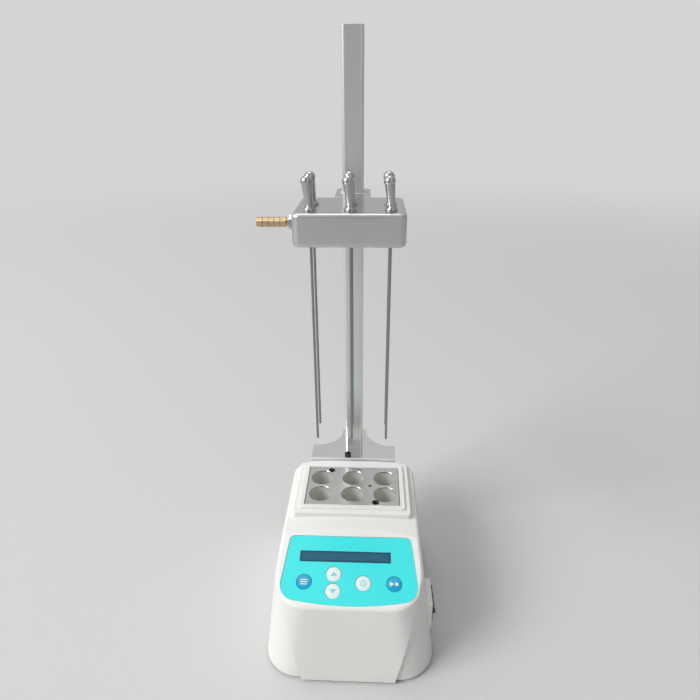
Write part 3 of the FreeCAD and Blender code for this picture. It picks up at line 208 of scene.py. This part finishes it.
class Finish(Graph):
    """A material under construction, with its shader and the place of each point in metres."""

    SOCKETS = {"base": "Base Color", "rough": "Roughness", "metal": "Metallic", "normal": "Normal",
               "ior": "IOR", "specular": "Specular IOR Level"}

    def __init__(self, name):
        self.material = bpy.data.materials.new(name)
        self.material.use_nodes = True
        super().__init__(self.material.node_tree)
        self.shader = self.nodes["Principled BSDF"]
        self.place = self.node("ShaderNodeTexCoord", out="Object")

    def surface(self, **values):
        for key, value in values.items():
            if key == "base" and not isinstance(value, Sock):
                value = (*value, 1.0)
            self.feed(self.shader.inputs[self.SOCKETS[key]], value)
        return self.material

    def stretched(self, x, y, z):
        """The place, scaled along each axis."""
        return self.node("ShaderNodeVectorMath", {"operation": "MULTIPLY"},
                         {0: self.place, 1: (x, y, z)})

    def noise(self, scale, detail=2.0, along=None):
        """Grey noise, with the scale as grains per metre, or one scale for each axis."""
        place = self.place if along is None else self.stretched(*along)
        return self.node("ShaderNodeTexNoise", None,
                         {"Vector": place, "Scale": scale, "Detail": detail, "Roughness": 0.55},
                         "Fac")

    def blend(self, low, high, share):
        """A colour between two colours."""
        pair = [c if isinstance(c, Sock) else (*c, 1.0) for c in (low, high)]
        return self.node("ShaderNodeMix", {"data_type": "RGBA"},
                         {0: share, 6: pair[0], 7: pair[1]}, 2)

    def edges(self, radius):
        """Normals that roll over the sharp edges."""
        return self.node("ShaderNodeBevel", {"samples": 6}, {"Radius": radius * MM})

    def relief(self, height, depth, over=None):
        """Small relief; the depth is in millimetres."""
        values = {"Height": height, "Distance": depth * MM, "Strength": 1.0}
        if over is not None:
            values["Normal"] = over
        return self.node("ShaderNodeBump", None, values)

    def local(self, centre, tilt=0.0):
        """Place about a centre, in millimetres, turned back by a tilt about X: three values."""
        shifted = self.node("ShaderNodeMapping", {"vector_type": "TEXTURE"},
                            {"Vector": self.place, "Location": centre, "Rotation": (tilt, 0.0, 0.0),
                             "Scale": (MM, MM, MM)})
        parts = self.node("ShaderNodeSeparateXYZ", None, {0: shifted})
        outs = parts.socket.node.outputs
        return [Sock(self, outs[index]) for index in range(3)]


# Finishes

def white_shell():
    """Glossy white moulding with faint flow marks and a trace of orange peel."""
    finish = Finish("white_shell")
    cloud = finish.noise(14.0, 3.0)
    peel = finish.noise(700.0, 1.0)
    return finish.surface(base=finish.blend((0.80, 0.795, 0.775), (0.845, 0.84, 0.825), cloud),
                          rough=0.34 + 0.08 * finish.noise(45.0, 4.0), ior=1.5,
                          normal=finish.relief(peel, 0.012))


def grey_shell():
    """Matt dark grey moulding with a spark-eroded grain."""
    finish = Finish("grey_shell")
    grain = finish.noise(2600.0, 2.0)
    return finish.surface(base=finish.blend((0.030, 0.031, 0.033), (0.055, 0.056, 0.058), grain),
                          rough=0.62 + 0.12 * finish.noise(120.0),
                          normal=finish.relief(grain, 0.03))


def soft_rubber(name, dark, light, rough):
    """Moulded rubber with a dusty grain."""
    finish = Finish(name)
    grain = finish.noise(1500.0, 3.0)
    return finish.surface(base=finish.blend(dark, light, finish.noise(220.0, 4.0)),
                          rough=rough + 0.1 * grain,
                          normal=finish.relief(grain, 0.03, finish.edges(0.3)))


def black_steel():
    """Oil-blackened steel, rubbed a little brighter in places."""
    finish = Finish("black_steel")
    rubbed = finish.noise(900.0, 4.0)
    tone = finish.blend((0.012, 0.012, 0.014), (0.06, 0.06, 0.065), rubbed * rubbed)
    return finish.surface(base=tone, metal=0.55, rough=0.34 + 0.2 * rubbed,
                          normal=finish.edges(0.2))


def machined_alloy():
    """Milled aluminium block: a fine lay across the top; satin wells with turning marks and painted
    reflection.
    """
    finish = Finish("machined_alloy")
    lay = finish.noise(1.0, 3.0, (60.0, 3200.0, 700.0))
    turning = finish.noise(1.0, 1.0, (40.0, 40.0, 5200.0))
    tone = finish.noise(55.0, 3.0)
    across, back, rise = finish.local((0.0, BLOCK_Y * MM, BLOCK_TOP * MM))
    column = across.maths("WRAP", across, WELL_PITCH[0] / 2, -WELL_PITCH[0] / 2)
    row = abs(back) - WELL_PITCH[1] / 2
    reach = across.maths("SQRT", column * column + row * row)
    in_well = (reach - WELL_RADIUS - WELL_MARGIN).most(rise + WELL_RIM_DEPTH).within(SOFT_EDGE)
    face = finish.blend((0.60, 0.595, 0.59), (0.74, 0.735, 0.73), 0.55 * tone + 0.45 * lay)
    # Painted reflection: the well walls are coloured lighter and greenish than the face, standing
    # in for light reflected inside the wells; the turning marks in them are real
    painted_reflection_wall = finish.blend((0.73, 0.755, 0.705), (0.85, 0.875, 0.825), 0.5 * tone + 0.5 * turning)
    return finish.surface(base=finish.blend(face, painted_reflection_wall, in_well), metal=1.0 - 0.55 * in_well,
                          rough=0.17 + 0.08 * lay + 0.14 * in_well,
                          normal=finish.relief(lay + 0.6 * turning, 0.008))


def anodised_pole():
    """Satin anodised tube, with the die's fine lines along it."""
    finish = Finish("anodised_pole")
    lines = finish.noise(1.0, 3.0, (3600.0, 3600.0, 14.0))
    tone = finish.noise(30.0, 2.0)
    face = finish.blend((0.70, 0.695, 0.685), (0.81, 0.805, 0.795), 0.5 * lines + 0.5 * tone)
    return finish.surface(base=face, metal=0.86, rough=0.28 + 0.08 * lines,
                          normal=finish.relief(lines, 0.005))


def blasted_alloy():
    """Bead-blasted and anodised head, with a finely milled top face."""
    finish = Finish("blasted_alloy")
    beads = finish.noise(5200.0, 2.0)
    lay = finish.noise(1.0, 3.0, (30.0, 2600.0, 30.0))
    tone = finish.noise(24.0, 3.0)
    _, _, rise = finish.local((0.0, 0.0, ARM_TOP * MM))
    milled = (rise * -1.0 - 0.12).within(0.1)
    face = finish.blend((0.53, 0.53, 0.535), (0.63, 0.63, 0.63), tone)
    top = finish.blend((0.54, 0.54, 0.54), (0.68, 0.68, 0.675), lay)
    return finish.surface(base=finish.blend(face, top, milled), metal=1.0,
                          rough=0.33 + 0.10 * beads - 0.18 * milled,
                          normal=finish.relief(beads, 0.008))


def polished_plate():
    """Mirror-polished plate with hairline wipe marks."""
    finish = Finish("polished_plate")
    wipes = finish.noise(1.0, 3.0, (35.0, 2600.0, 2600.0))
    smears = finish.noise(38.0, 4.0)
    return finish.surface(base=finish.blend((0.77, 0.77, 0.775), (0.86, 0.86, 0.865), smears),
                          metal=1.0, rough=0.05 + 0.05 * wipes + 0.07 * smears,
                          normal=finish.relief(wipes, 0.0015))


def bright_plating():
    """Bright nickel plating with a breath of finger grease."""
    finish = Finish("bright_plating")
    grease = finish.noise(260.0, 4.0)
    return finish.surface(base=finish.blend((0.42, 0.41, 0.40), (0.54, 0.53, 0.52), grease),
                          metal=1.0, rough=0.15 + 0.10 * grease, normal=finish.edges(0.15))


def drawn_steel():
    """Drawn stainless steel with lengthwise lines."""
    finish = Finish("drawn_steel")
    lines = finish.noise(1.0, 3.0, (5200.0, 5200.0, 40.0))
    return finish.surface(base=finish.blend((0.20, 0.20, 0.205), (0.36, 0.36, 0.365), lines),
                          metal=1.0, rough=0.29 + 0.12 * lines,
                          normal=finish.relief(lines, 0.003, finish.edges(0.15)))


def turned_brass():
    """Turned brass with tool rings and a little tarnish."""
    finish = Finish("turned_brass")
    rings = finish.noise(1.0, 2.0, (5200.0, 60.0, 60.0))
    tarnish = finish.noise(420.0, 4.0)
    tone = finish.blend((0.34, 0.225, 0.12), (0.68, 0.50, 0.31), 0.30 + 0.7 * tarnish)
    return finish.surface(base=tone, metal=1.0, rough=0.29 + 0.10 * rings + 0.06 * tarnish,
                          normal=finish.relief(rings, 0.006, finish.edges(0.12)))


def circuit_board():
    """Green solder mask over copper tracks."""
    finish = Finish("green_board")
    tracks = finish.node("ShaderNodeTexBrick",
                         {"offset": 0.5, "squash": 0.7, "squash_frequency": 3},
                         {"Vector": finish.place, "Scale": 140.0, "Mortar Size": 0.05,
                          "Brick Width": 0.9}, "Fac")
    return finish.surface(base=finish.blend((0.010, 0.085, 0.035), (0.035, 0.20, 0.085), tracks),
                          rough=0.34 + 0.1 * finish.noise(300.0),
                          normal=finish.relief(tracks, 0.03))


def felt_pad():
    """Dense mineral-fibre felt."""
    finish = Finish("felt_pad")
    fibres = finish.noise(1800.0, 5.0)
    return finish.surface(base=finish.blend((0.24, 0.235, 0.22), (0.48, 0.47, 0.45), fibres),
                          rough=0.95, normal=finish.relief(fibres, 0.2))


def plain_plastic(name, dark, light, rough, grain_depth):
    """Moulded engineering plastic with a fine grain."""
    finish = Finish(name)
    grain = finish.noise(2400.0, 2.0)
    return finish.surface(base=finish.blend(dark, light, finish.noise(160.0, 3.0)),
                          rough=rough + 0.1 * grain,
                          normal=finish.relief(grain, grain_depth, finish.edges(0.25)))


def cyan_film():
    """Printed polyester film with a fine matt texture."""
    finish = Finish("cyan_film")
    tooth = finish.noise(4200.0, 1.0)
    tone = finish.noise(26.0, 2.0)
    return finish.surface(base=finish.blend((0.026, 0.73, 0.74), (0.038, 0.79, 0.795), tone),
                          rough=0.30 + 0.12 * tooth, specular=0.4,
                          normal=finish.relief(tooth, 0.004))


def display_glass():
    """Tinted window over an unlit one-line display, with its row of character cells."""
    finish = Finish("display_glass")
    across, up, _ = finish.local(panel(*WINDOW_AT), PANEL_TILT)
    half_row = CELL_PITCH * CELL_COUNT / 2
    step = across.maths("PINGPONG", across + half_row, CELL_PITCH / 2)
    in_row = (abs(up) - CELL_HALF_HEIGHT).most(abs(across) - half_row)
    cell = (CELL_HALF_GAP - step).most(in_row).within(FINE_EDGE)
    border = (abs(across) - DISPLAY_HALF[0]).most(abs(up) - DISPLAY_HALF[1]).within(SOFT_EDGE)
    lit = finish.blend((0.012, 0.100, 0.172), (0.014, 0.108, 0.184), cell)
    return finish.surface(base=finish.blend((0.010, 0.068, 0.115), lit, border),
                          rough=0.18 + 0.07 * finish.noise(400.0, 3.0), specular=0.12)


def legend(finish, key):
    """Signed distance to the sign printed on one key, in millimetres; negative inside."""
    across, up, _ = finish.local(panel(*KEY_PLACES[key]), PANEL_TILT)
    if key in ("up_key", "down_key"):
        rise = up if key == "up_key" else up * -1.0
        side = abs(across) * ARROW_SLOPE[0] + rise * ARROW_SLOPE[1] - ARROW_REACH
        return side.most(-ARROW_FOOT - rise)
    if key == "left_key":
        bars = (abs(up) - HALF_LINE).least(abs(abs(up) - BAR_STEP) - HALF_LINE)
        return bars.most(abs(across) - BAR_REACH)
    round_out = across.maths("SQRT", across * across + up * up)
    if key == "middle_key":
        return (abs(round_out - RING_RADIUS) - HALF_LINE).least(round_out - DOT_RADIUS)
    side = abs(up) * PLAY_SLOPE[0] + (across + PLAY_SHIFT) * PLAY_SLOPE[1] - PLAY_REACH
    play = side.most(-PLAY_FOOT - across)
    stop = (abs(across - STOP_AT) - STOP_HALF).most(abs(up) - STOP_HALF)
    return play.least(stop)


def key_cap(key, dark, light, ink):
    """Glossy moulded key with a printed sign."""
    finish = Finish(key + "_cap")
    body = finish.blend(dark, light, finish.noise(90.0, 2.0))
    print_mask = legend(finish, key).within(KEY_PRINT_EDGE)
    return finish.surface(base=finish.blend(body, ink, print_mask),
                          rough=0.17 + 0.08 * finish.noise(300.0, 3.0), specular=0.3,
                          normal=finish.relief(print_mask, 0.02, finish.edges(0.25)))


def rocker_cap():
    """Black switch rocker with its two white position marks."""
    finish = Finish("rocker_cap")
    _, across, up = finish.local(Vector(POD_FACE) * MM)
    bar = (abs(across) - ROCKER_BAR_HALF[0]).most(abs(up - ROCKER_MARK_AT) - ROCKER_BAR_HALF[1])
    low = up + ROCKER_MARK_AT
    ring = across.maths("SQRT", across * across + low * low)
    mark = bar.least(abs(ring - ROCKER_RING_RADIUS) - ROCKER_HALF_LINE).within(FINE_EDGE)
    grain = finish.noise(2400.0, 2.0)
    return finish.surface(base=finish.blend((0.012, 0.012, 0.013), (0.62, 0.62, 0.61), mark),
                          rough=0.36 + 0.1 * grain,
                          normal=finish.relief(grain, 0.01, finish.edges(0.3)))


# Each kind of key: two tones of its body, and its ink
BLUE = ((0.004, 0.33, 0.55), (0.007, 0.39, 0.63), (0.82, 0.84, 0.85))
WHITE = ((0.70, 0.83, 0.83), (0.76, 0.87, 0.865), (0.24, 0.60, 0.62))
LOOKS = {
    "housing_white": white_shell(),
    "base_grey": grey_shell(),
    "foot_rubber": soft_rubber("foot_rubber", (0.012, 0.012, 0.012), (0.032, 0.031, 0.030),
                               rough=0.7),
    "black_screw": black_steel(),
    "block_alloy": machined_alloy(),
    "foam_grey": felt_pad(),
    "steel": drawn_steel(),
    "board_green": circuit_board(),
    "display_dark": plain_plastic("display_frame", (0.010, 0.022, 0.028), (0.018, 0.036, 0.044),
                                  rough=0.3, grain_depth=0.01),
    "window_tint": display_glass(),
    "overlay_cyan": cyan_film(),
    "switch_black": plain_plastic("black_nylon", (0.010, 0.010, 0.011), (0.022, 0.022, 0.023),
                                  rough=0.42, grain_depth=0.02),
    "bracket_polished": polished_plate(),
    "pole_alloy": anodised_pole(),
    "liner_acetal": plain_plastic("white_acetal", (0.66, 0.65, 0.60), (0.74, 0.73, 0.69),
                                  rough=0.42, grain_depth=0.01),
    "head_alloy": blasted_alloy(),
    "gasket_rubber": soft_rubber("red_silicone", (0.16, 0.035, 0.025), (0.24, 0.06, 0.04),
                                 rough=0.55),
    "lever_chrome": bright_plating(),
    "barb_brass": turned_brass(),
}
OWN_LOOKS = {"switch_rocker": rocker_cap()}
for key in KEY_PLACES:
    OWN_LOOKS[key] = key_cap(key, *(BLUE if key in BLUE_KEYS else WHITE))

SLOT_OF = {part["node"]: part["material_slot"] for part in frame["record"]["subparts"]}
BODY_OF = {name: body for body, names in frame["record"]["behaviour"]["bodies"].items()
           for name in names}


def look_of(node):
    """The finish of one CAD node: its own, or that of its material slot."""
    return OWN_LOOKS.get(node) or LOOKS[SLOT_OF[node]]


for name, item in NODES.items():
    item.data.materials.clear()
    item.data.materials.append(look_of(name))


# Pieces that stand for CAD nodes with finer edges or details

def stand_for(node, mesh):
    """Show a mesh in place of one CAD node."""
    mesh.name = node + "_finished"
    piece = bpy.data.objects.new(mesh.name, mesh)
    bpy.context.scene.collection.objects.link(piece)
    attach(piece, BODY_OF[node])
    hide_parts(node)
    return piece


def evaluated(mesh, kinds):
    """A copy of a mesh with modifiers applied: each kind with its settings."""
    worker = bpy.data.objects.new("worker", mesh)
    bpy.context.scene.collection.objects.link(worker)
    for kind, settings in kinds:
        modifier = worker.modifiers.new(kind.lower(), kind)
        for key, value in settings.items():
            if hasattr(modifier, key):
                setattr(modifier, key, value)
            else:
                modifier[key] = value
    ready = worker.evaluated_get(bpy.context.evaluated_depsgraph_get())
    result = bpy.data.meshes.new_from_object(ready)
    bpy.data.objects.remove(worker)
    return result


def softened(node, width):
    """Break the sharp edges of a CAD node with a small real round."""
    mesh = NODES[node].data.copy()
    edit = bmesh.new()
    edit.from_mesh(mesh)
    bmesh.ops.remove_doubles(edit, verts=edit.verts, dist=WELD_DISTANCE)
    bmesh.ops.dissolve_limit(edit, angle_limit=FLAT_ANGLE, verts=edit.verts, edges=edit.edges)
    for face in edit.faces:
        face.smooth = True
    edit.to_mesh(mesh)
    edit.free()
    soft = evaluated(mesh, [
        ("BEVEL", {"width": width * MM, "segments": ROUND_STEPS, "limit_method": "ANGLE",
                   "angle_limit": ROUNDED_ANGLE, "use_clamp_overlap": True}),
        ("WELD", {"merge_threshold": WELD_DISTANCE}),
        ("WEIGHTED_NORMAL", {"mode": "FACE_AREA", "weight": 80, "keep_sharp": True}),
        ("TRIANGULATE", {"min_vertices": 5, "keep_custom_normals": True})])
    return stand_for(node, soft)


class Growth(Graph):
    """A Geometry Nodes tree under construction, with its named inputs."""

    def __init__(self, name):
        self.tree = bpy.data.node_groups.new(name, "GeometryNodeTree")
        super().__init__(self.tree)
        self.entry = self.nodes.new("NodeGroupInput")
        self.ids = {}

    def given(self, name):
        """A named length among the tree's inputs."""
        entry = self.tree.interface.new_socket(name, in_out="INPUT", socket_type="NodeSocketFloat")
        self.ids[name] = entry.identifier
        return Sock(self, self.entry.outputs[name])

    def moved(self, geometry, x=0.0, y=0.0, z=0.0, turn=0.0):
        """A geometry turned about X and moved."""
        offset = self.node("ShaderNodeCombineXYZ", None, {0: x, 1: y, 2: z})
        return self.node("GeometryNodeTransform", None,
                         {"Geometry": geometry, "Translation": offset,
                          "Rotation": (turn, 0.0, 0.0)})

    def joined(self, *parts):
        """Geometries side by side in one."""
        item = self.node("GeometryNodeJoinGeometry")
        for part in parts:
            self.links.new(part.socket, item.socket.node.inputs[0])
        return item

    def combined(self, operation, first, *others):
        """Solids joined into one, or the first with the others cut out of it."""
        item = self.node("GeometryNodeMeshBoolean", {"operation": operation, "solver": "EXACT"})
        inputs = item.socket.node.inputs
        self.links.new(first.socket, inputs["Mesh 2" if operation == "UNION" else "Mesh 1"])
        for other in others:
            self.links.new(other.socket, inputs["Mesh 2"])
        return item

    def frustum(self, low, high, depth, sides=40):
        """A cone cut off at the top, standing on its origin."""
        return self.node("GeometryNodeMeshCone", None,
                         {"Vertices": sides, "Radius Bottom": low, "Radius Top": high,
                          "Depth": depth}, "Mesh")

    def bar(self, x, y, z):
        """A box about its origin."""
        lengths = self.node("ShaderNodeCombineXYZ", None, {0: x, 1: y, 2: z})
        return self.node("GeometryNodeMeshCube", None, {"Size": lengths}, "Mesh")

    def repeated(self, one, columns, rows, pitch_x, pitch_y, turned=0.0):
        """One solid at each point of a grid, each with a spin of its own about its axis."""
        grid = self.node("GeometryNodeMeshGrid", None,
                         {"Size X": pitch_x * float(columns - 1),
                          "Size Y": pitch_y * float(rows - 1),
                          "Vertices X": columns, "Vertices Y": rows}, "Mesh")
        spin = self.node("FunctionNodeRandomValue", {"data_type": "FLOAT_VECTOR"},
                         {"Max": (0.0, 0.0, turned), "Seed": 7})
        return self.node("GeometryNodeInstanceOnPoints", None,
                         {"Points": grid, "Instance": one, "Rotation": spin})

    def finished(self, instances, material):
        """Give the tree its output: real meshes with one material."""
        self.tree.interface.new_socket("Geometry", in_out="OUTPUT",
                                       socket_type="NodeSocketGeometry")
        real = self.node("GeometryNodeRealizeInstances", None, {0: instances})
        shown = self.node("GeometryNodeSetMaterial", None,
                          {"Geometry": real, "Material": material})
        self.links.new(shown.socket, self.nodes.new("NodeGroupOutput").inputs[0])


def grown(node, growth, instances, **lengths):
    """Run a tree with its lengths in millimetres, and show its mesh in place of a CAD node."""
    growth.finished(instances, look_of(node))
    values = {growth.ids[name.replace("_", " ")]: value * MM for name, value in lengths.items()}
    seed = bpy.data.meshes.new("seed")
    mesh = evaluated(seed, [("NODES", {"node_group": growth.tree, **values})])
    mesh.shade_smooth()
    mesh.set_sharp_from_angle(angle=SHARP_ANGLE)
    return stand_for(node, mesh)


def cross_screws(node, at, turn, **lengths):
    """Four cross-recess screws at a rectangle's corners; heads face +Z before the turn."""
    growth = Growth(node + "_growth")
    foot, crown, height, recess, shank, length, pitch_x, pitch_y = (
        growth.given(n) for n in ("foot", "crown", "height", "recess", "shank", "length",
                                  "pitch x", "pitch y"))
    blades = [growth.moved(growth.bar(*sides, height), z=height)
              for sides in ((recess, recess * BLADE_SHARE), (recess * BLADE_SHARE, recess))]
    head = growth.combined("DIFFERENCE", growth.frustum(foot, crown, height), *blades)
    pin = growth.moved(growth.frustum(shank * SHANK_TIP_SHARE, shank, length, SHANK_SIDES),
                       z=length * -1.0)
    screws = growth.repeated(growth.joined(head, pin), 2, 2, pitch_x, pitch_y, math.pi)
    return grown(node, growth, growth.moved(screws, *(Vector(at) * MM), turn), **lengths)


def needle_ferrules():
    """Six hexagonal ferrules under the head's cover, bored for the needles."""
    growth = Growth("ferrule_growth")
    flat, nose, height, bore, pitch_x, pitch_y = (
        growth.given(n) for n in ("flat", "nose", "height", "bore", "pitch x", "pitch y"))
    solid = growth.combined("UNION", growth.frustum(flat, flat, height * HEX_SHARE, sides=6),
                            growth.frustum(nose * NOSE_FLARE, nose, height))
    way = growth.moved(growth.frustum(bore, bore, height * 3.0), z=height * -1.0)
    ferrule = growth.combined("DIFFERENCE", solid, way)
    six = growth.repeated(ferrule, 3, 2, pitch_x, pitch_y)
    at = Vector((NEEDLE_X, BLOCK_Y, ARM_Z)) * MM
    return grown("needle_fittings", growth, growth.moved(six, *at, math.pi), flat=1.9, nose=1.45,
                 height=1.8, bore=1.02, pitch_x=WELL_PITCH[0], pitch_y=WELL_PITCH[1])


def rubber_feet():
    """Four tapered feet with a cupped sole."""
    growth = Growth("foot_growth")
    sole, seat, height, cup, pitch_x, pitch_y = (
        growth.given(n) for n in ("sole", "seat", "height", "cup", "pitch x", "pitch y"))
    hollow = growth.moved(growth.frustum(cup, cup * CUP_TOP_SHARE, height * CUP_DEPTH_SHARE),
                          z=height * -0.25)
    foot = growth.combined("DIFFERENCE", growth.frustum(sole, seat, height), hollow)
    four = growth.repeated(foot, 2, 2, pitch_x, pitch_y)
    return grown("rubber_feet", growth, growth.moved(four, y=FEET_Y * MM), sole=5.4, seat=6.0,
                 height=2.0, cup=3.8, pitch_x=84.8, pitch_y=107.4)


cross_screws("bracket_screws", (STAND_X, 76.0, 67.6), -math.pi / 2, foot=3.3, crown=2.3,
             height=1.5, recess=3.4, shank=1.5, length=8.0, pitch_x=60.0, pitch_y=22.0)
cross_screws("base_screws", (0.0, 4.0, 3.8), math.pi, foot=3.3, crown=2.5,
             height=1.6, recess=3.6, shank=1.5, length=12.4, pitch_x=109.0, pitch_y=88.0)
cross_screws("manifold_screws", (STAND_X, 33.4, 296.1), math.pi, foot=1.0, crown=2.1,
             height=1.1, recess=2.4, shank=1.0, length=5.9, pitch_x=26.0, pitch_y=29.2)
needle_ferrules()
rubber_feet()

# Width of the round on each softened node, in millimetres
SOFT_EDGES = {"heating_block": 0.1, "stand_bracket": 0.4, "carriage": 0.5, "clamp_knob": 0.6,
              "switch_body": 0.3, "switch_rocker": 0.35, "barb_nut": 0.25, "power_inlet": 0.25,
              "pole": 0.2, "pole_cap": 0.4, "lcd_window": 0.15, "lcd_module": 0.3,
              "insulation_pad": 0.8}
for node, width in SOFT_EDGES.items():
    softened(node, width)


# Floor, light and camera

PALE = (0.66, 0.66, 0.655)
FLOOR_RADIUS = 9.0
FADE_FROM, FADE_TO = 0.5, 2.6

# Each soft box: place, aim and width in metres, and power in watts
LAMPS = {"key_light": ((-3.3, -1.65, 2.97), (0.0, 0.02, 0.2), 2.2, 167.0),
         "fill_light": ((2.8, -2.4, 1.8), (0.0, 0.02, 0.2), 2.4, 4.0),
         "top_light": ((-0.4, 1.0, 3.8), (0.0, 0.02, 0.1), 2.0, 36.0)}

# The fitted camera: place in millimetres, pitch, yaw and roll in degrees, and lens in pixels
CAMERA_AT = (13.97, -328.14, 384.86)
CAMERA_TURNS = (25.212, -2.476, -0.382)
FOCAL_PIXELS = 550.2
PHOTO_PIXELS = 700.0
SENSOR_WIDTH = 36.0


def studio_floor():
    """A wide pale floor that fades into the pale backdrop."""
    mesh = bpy.data.meshes.new("floor")
    edit = bmesh.new()
    bmesh.ops.create_circle(edit, cap_ends=True, radius=FLOOR_RADIUS, segments=96)
    edit.to_mesh(mesh)
    edit.free()
    floor = bpy.data.objects.new("floor", mesh)
    bpy.context.scene.collection.objects.link(floor)
    finish = Finish("pale_floor")
    grain = finish.noise(300.0, 2.0)
    finish.surface(base=finish.blend((0.595, 0.595, 0.59), (0.61, 0.61, 0.605), grain), rough=0.7)
    reach = finish.node("ShaderNodeVectorMath", {"operation": "LENGTH"}, {0: finish.place},
                        "Value")
    far = finish.node("ShaderNodeMapRange", {"interpolation_type": "SMOOTHSTEP"},
                      {"Value": reach, "From Min": FADE_FROM, "From Max": FADE_TO})
    seen = finish.node("ShaderNodeLightPath", out="Is Camera Ray")
    glow = finish.node("ShaderNodeEmission", None,
                       {"Color": finish.blend((0.42, 0.42, 0.42), PALE, seen)})
    shown = finish.node("ShaderNodeMixShader", None,
                        {0: far, 1: Sock(finish, finish.shader.outputs[0]), 2: glow})
    finish.links.new(shown.socket, finish.nodes["Material Output"].inputs["Surface"])
    mesh.materials.append(finish.material)


def studio_world():
    """Pale backdrop for the camera, a room to mirror, brighter on the left, and a soft dome."""
    world = bpy.data.worlds.new("studio")
    world.use_nodes = True
    graph = Graph(world.node_tree)
    outs = graph.node("ShaderNodeLightPath").socket.node.outputs
    seen, glossy, through = (Sock(graph, outs[ray]) for ray in
                             ("Is Camera Ray", "Is Glossy Ray", "Is Transmission Ray"))
    direction = graph.node("ShaderNodeTexCoord", out="Generated")
    axes = graph.node("ShaderNodeSeparateXYZ", None, {0: direction}).socket.node.outputs

    def swell(axis, low, high, gain):
        """Light that grows along one axis of the room."""
        return graph.node("ShaderNodeMapRange", {"interpolation_type": "SMOOTHSTEP"},
                          {"Value": Sock(graph, axes[axis]), "From Min": low, "From Max": high,
                           "To Max": gain})

    def shade(low, high, share):
        """A colour between two colours."""
        return graph.node("ShaderNodeMix", {"data_type": "RGBA"}, {0: share, 6: low, 7: high}, 2)

    black, white = (0.0, 0.0, 0.0, 1.0), (1.0, 1.0, 1.0, 1.0)
    near_wall = swell(BACK, 0.1, -0.3, 1.0)
    left_wall = swell(ACROSS, -0.2, -0.85, 1.0) * (0.18 + swell(BACK, 0.5, 0.0, 0.46))
    window = swell(ACROSS, 0.14, 0.30, 1.0) * swell(ACROSS, 0.56, 0.40, 0.55) * near_wall
    room_light = (0.26 + swell(BACK, -0.3, 0.5, 0.24) + swell(UP, 0.1, 0.9, 0.12) + left_wall
                  + window)
    mirrored = graph.node("ShaderNodeCombineColor", None, dict.fromkeys(range(3), room_light))
    dome = shade(black, white,
                 0.13 + swell(UP, -0.1, 1.0, 0.22) + swell(ACROSS, 0.5, -0.7, 0.20))
    room = shade(dome, mirrored, glossy.most(through))
    graph.feed(graph.nodes["Background"].inputs["Color"], shade(room, (*PALE, 1.0), seen))
    bpy.context.scene.world = world


def soft_lamp(name, at, aim, width, watts):
    """A square soft box."""
    lamp = bpy.data.lights.new(name, "AREA")
    lamp.size = width
    lamp.energy = watts
    item = bpy.data.objects.new(name, lamp)
    item.location = at
    item.rotation_mode = "QUATERNION"
    item.rotation_quaternion = (Vector(aim) - Vector(at)).to_track_quat("-Z", "Y")
    bpy.context.scene.collection.objects.link(item)


def photo_camera():
    """The photograph's camera, fitted to the block, its wells, the levers' feet and the pole."""
    pitch, yaw, roll = (math.radians(turn) for turn in CAMERA_TURNS)
    forward = Vector((math.sin(yaw) * math.cos(pitch), math.cos(yaw) * math.cos(pitch),
                      -math.sin(pitch)))
    right = Vector((math.cos(yaw), -math.sin(yaw), 0.0))
    up = right.cross(forward)
    right, up = (right * math.cos(roll) + up * math.sin(roll),
                 up * math.cos(roll) - right * math.sin(roll))
    camera = bpy.data.cameras.new("camera")
    camera.sensor_width = SENSOR_WIDTH
    camera.lens = FOCAL_PIXELS * SENSOR_WIDTH / PHOTO_PIXELS
    camera.clip_start = 0.01
    item = bpy.data.objects.new("camera", camera)
    turn = Matrix((right, up, -forward)).transposed().to_4x4()
    item.matrix_world = Matrix.Translation(Vector(CAMERA_AT) * MM) @ turn
    bpy.context.scene.collection.objects.link(item)
    bpy.context.scene.camera = item


studio_floor()
studio_world()
for name, lamp in LAMPS.items():
    soft_lamp(name, *lamp)
photo_camera()
bpy.context.scene.view_settings.view_transform = "Standard"
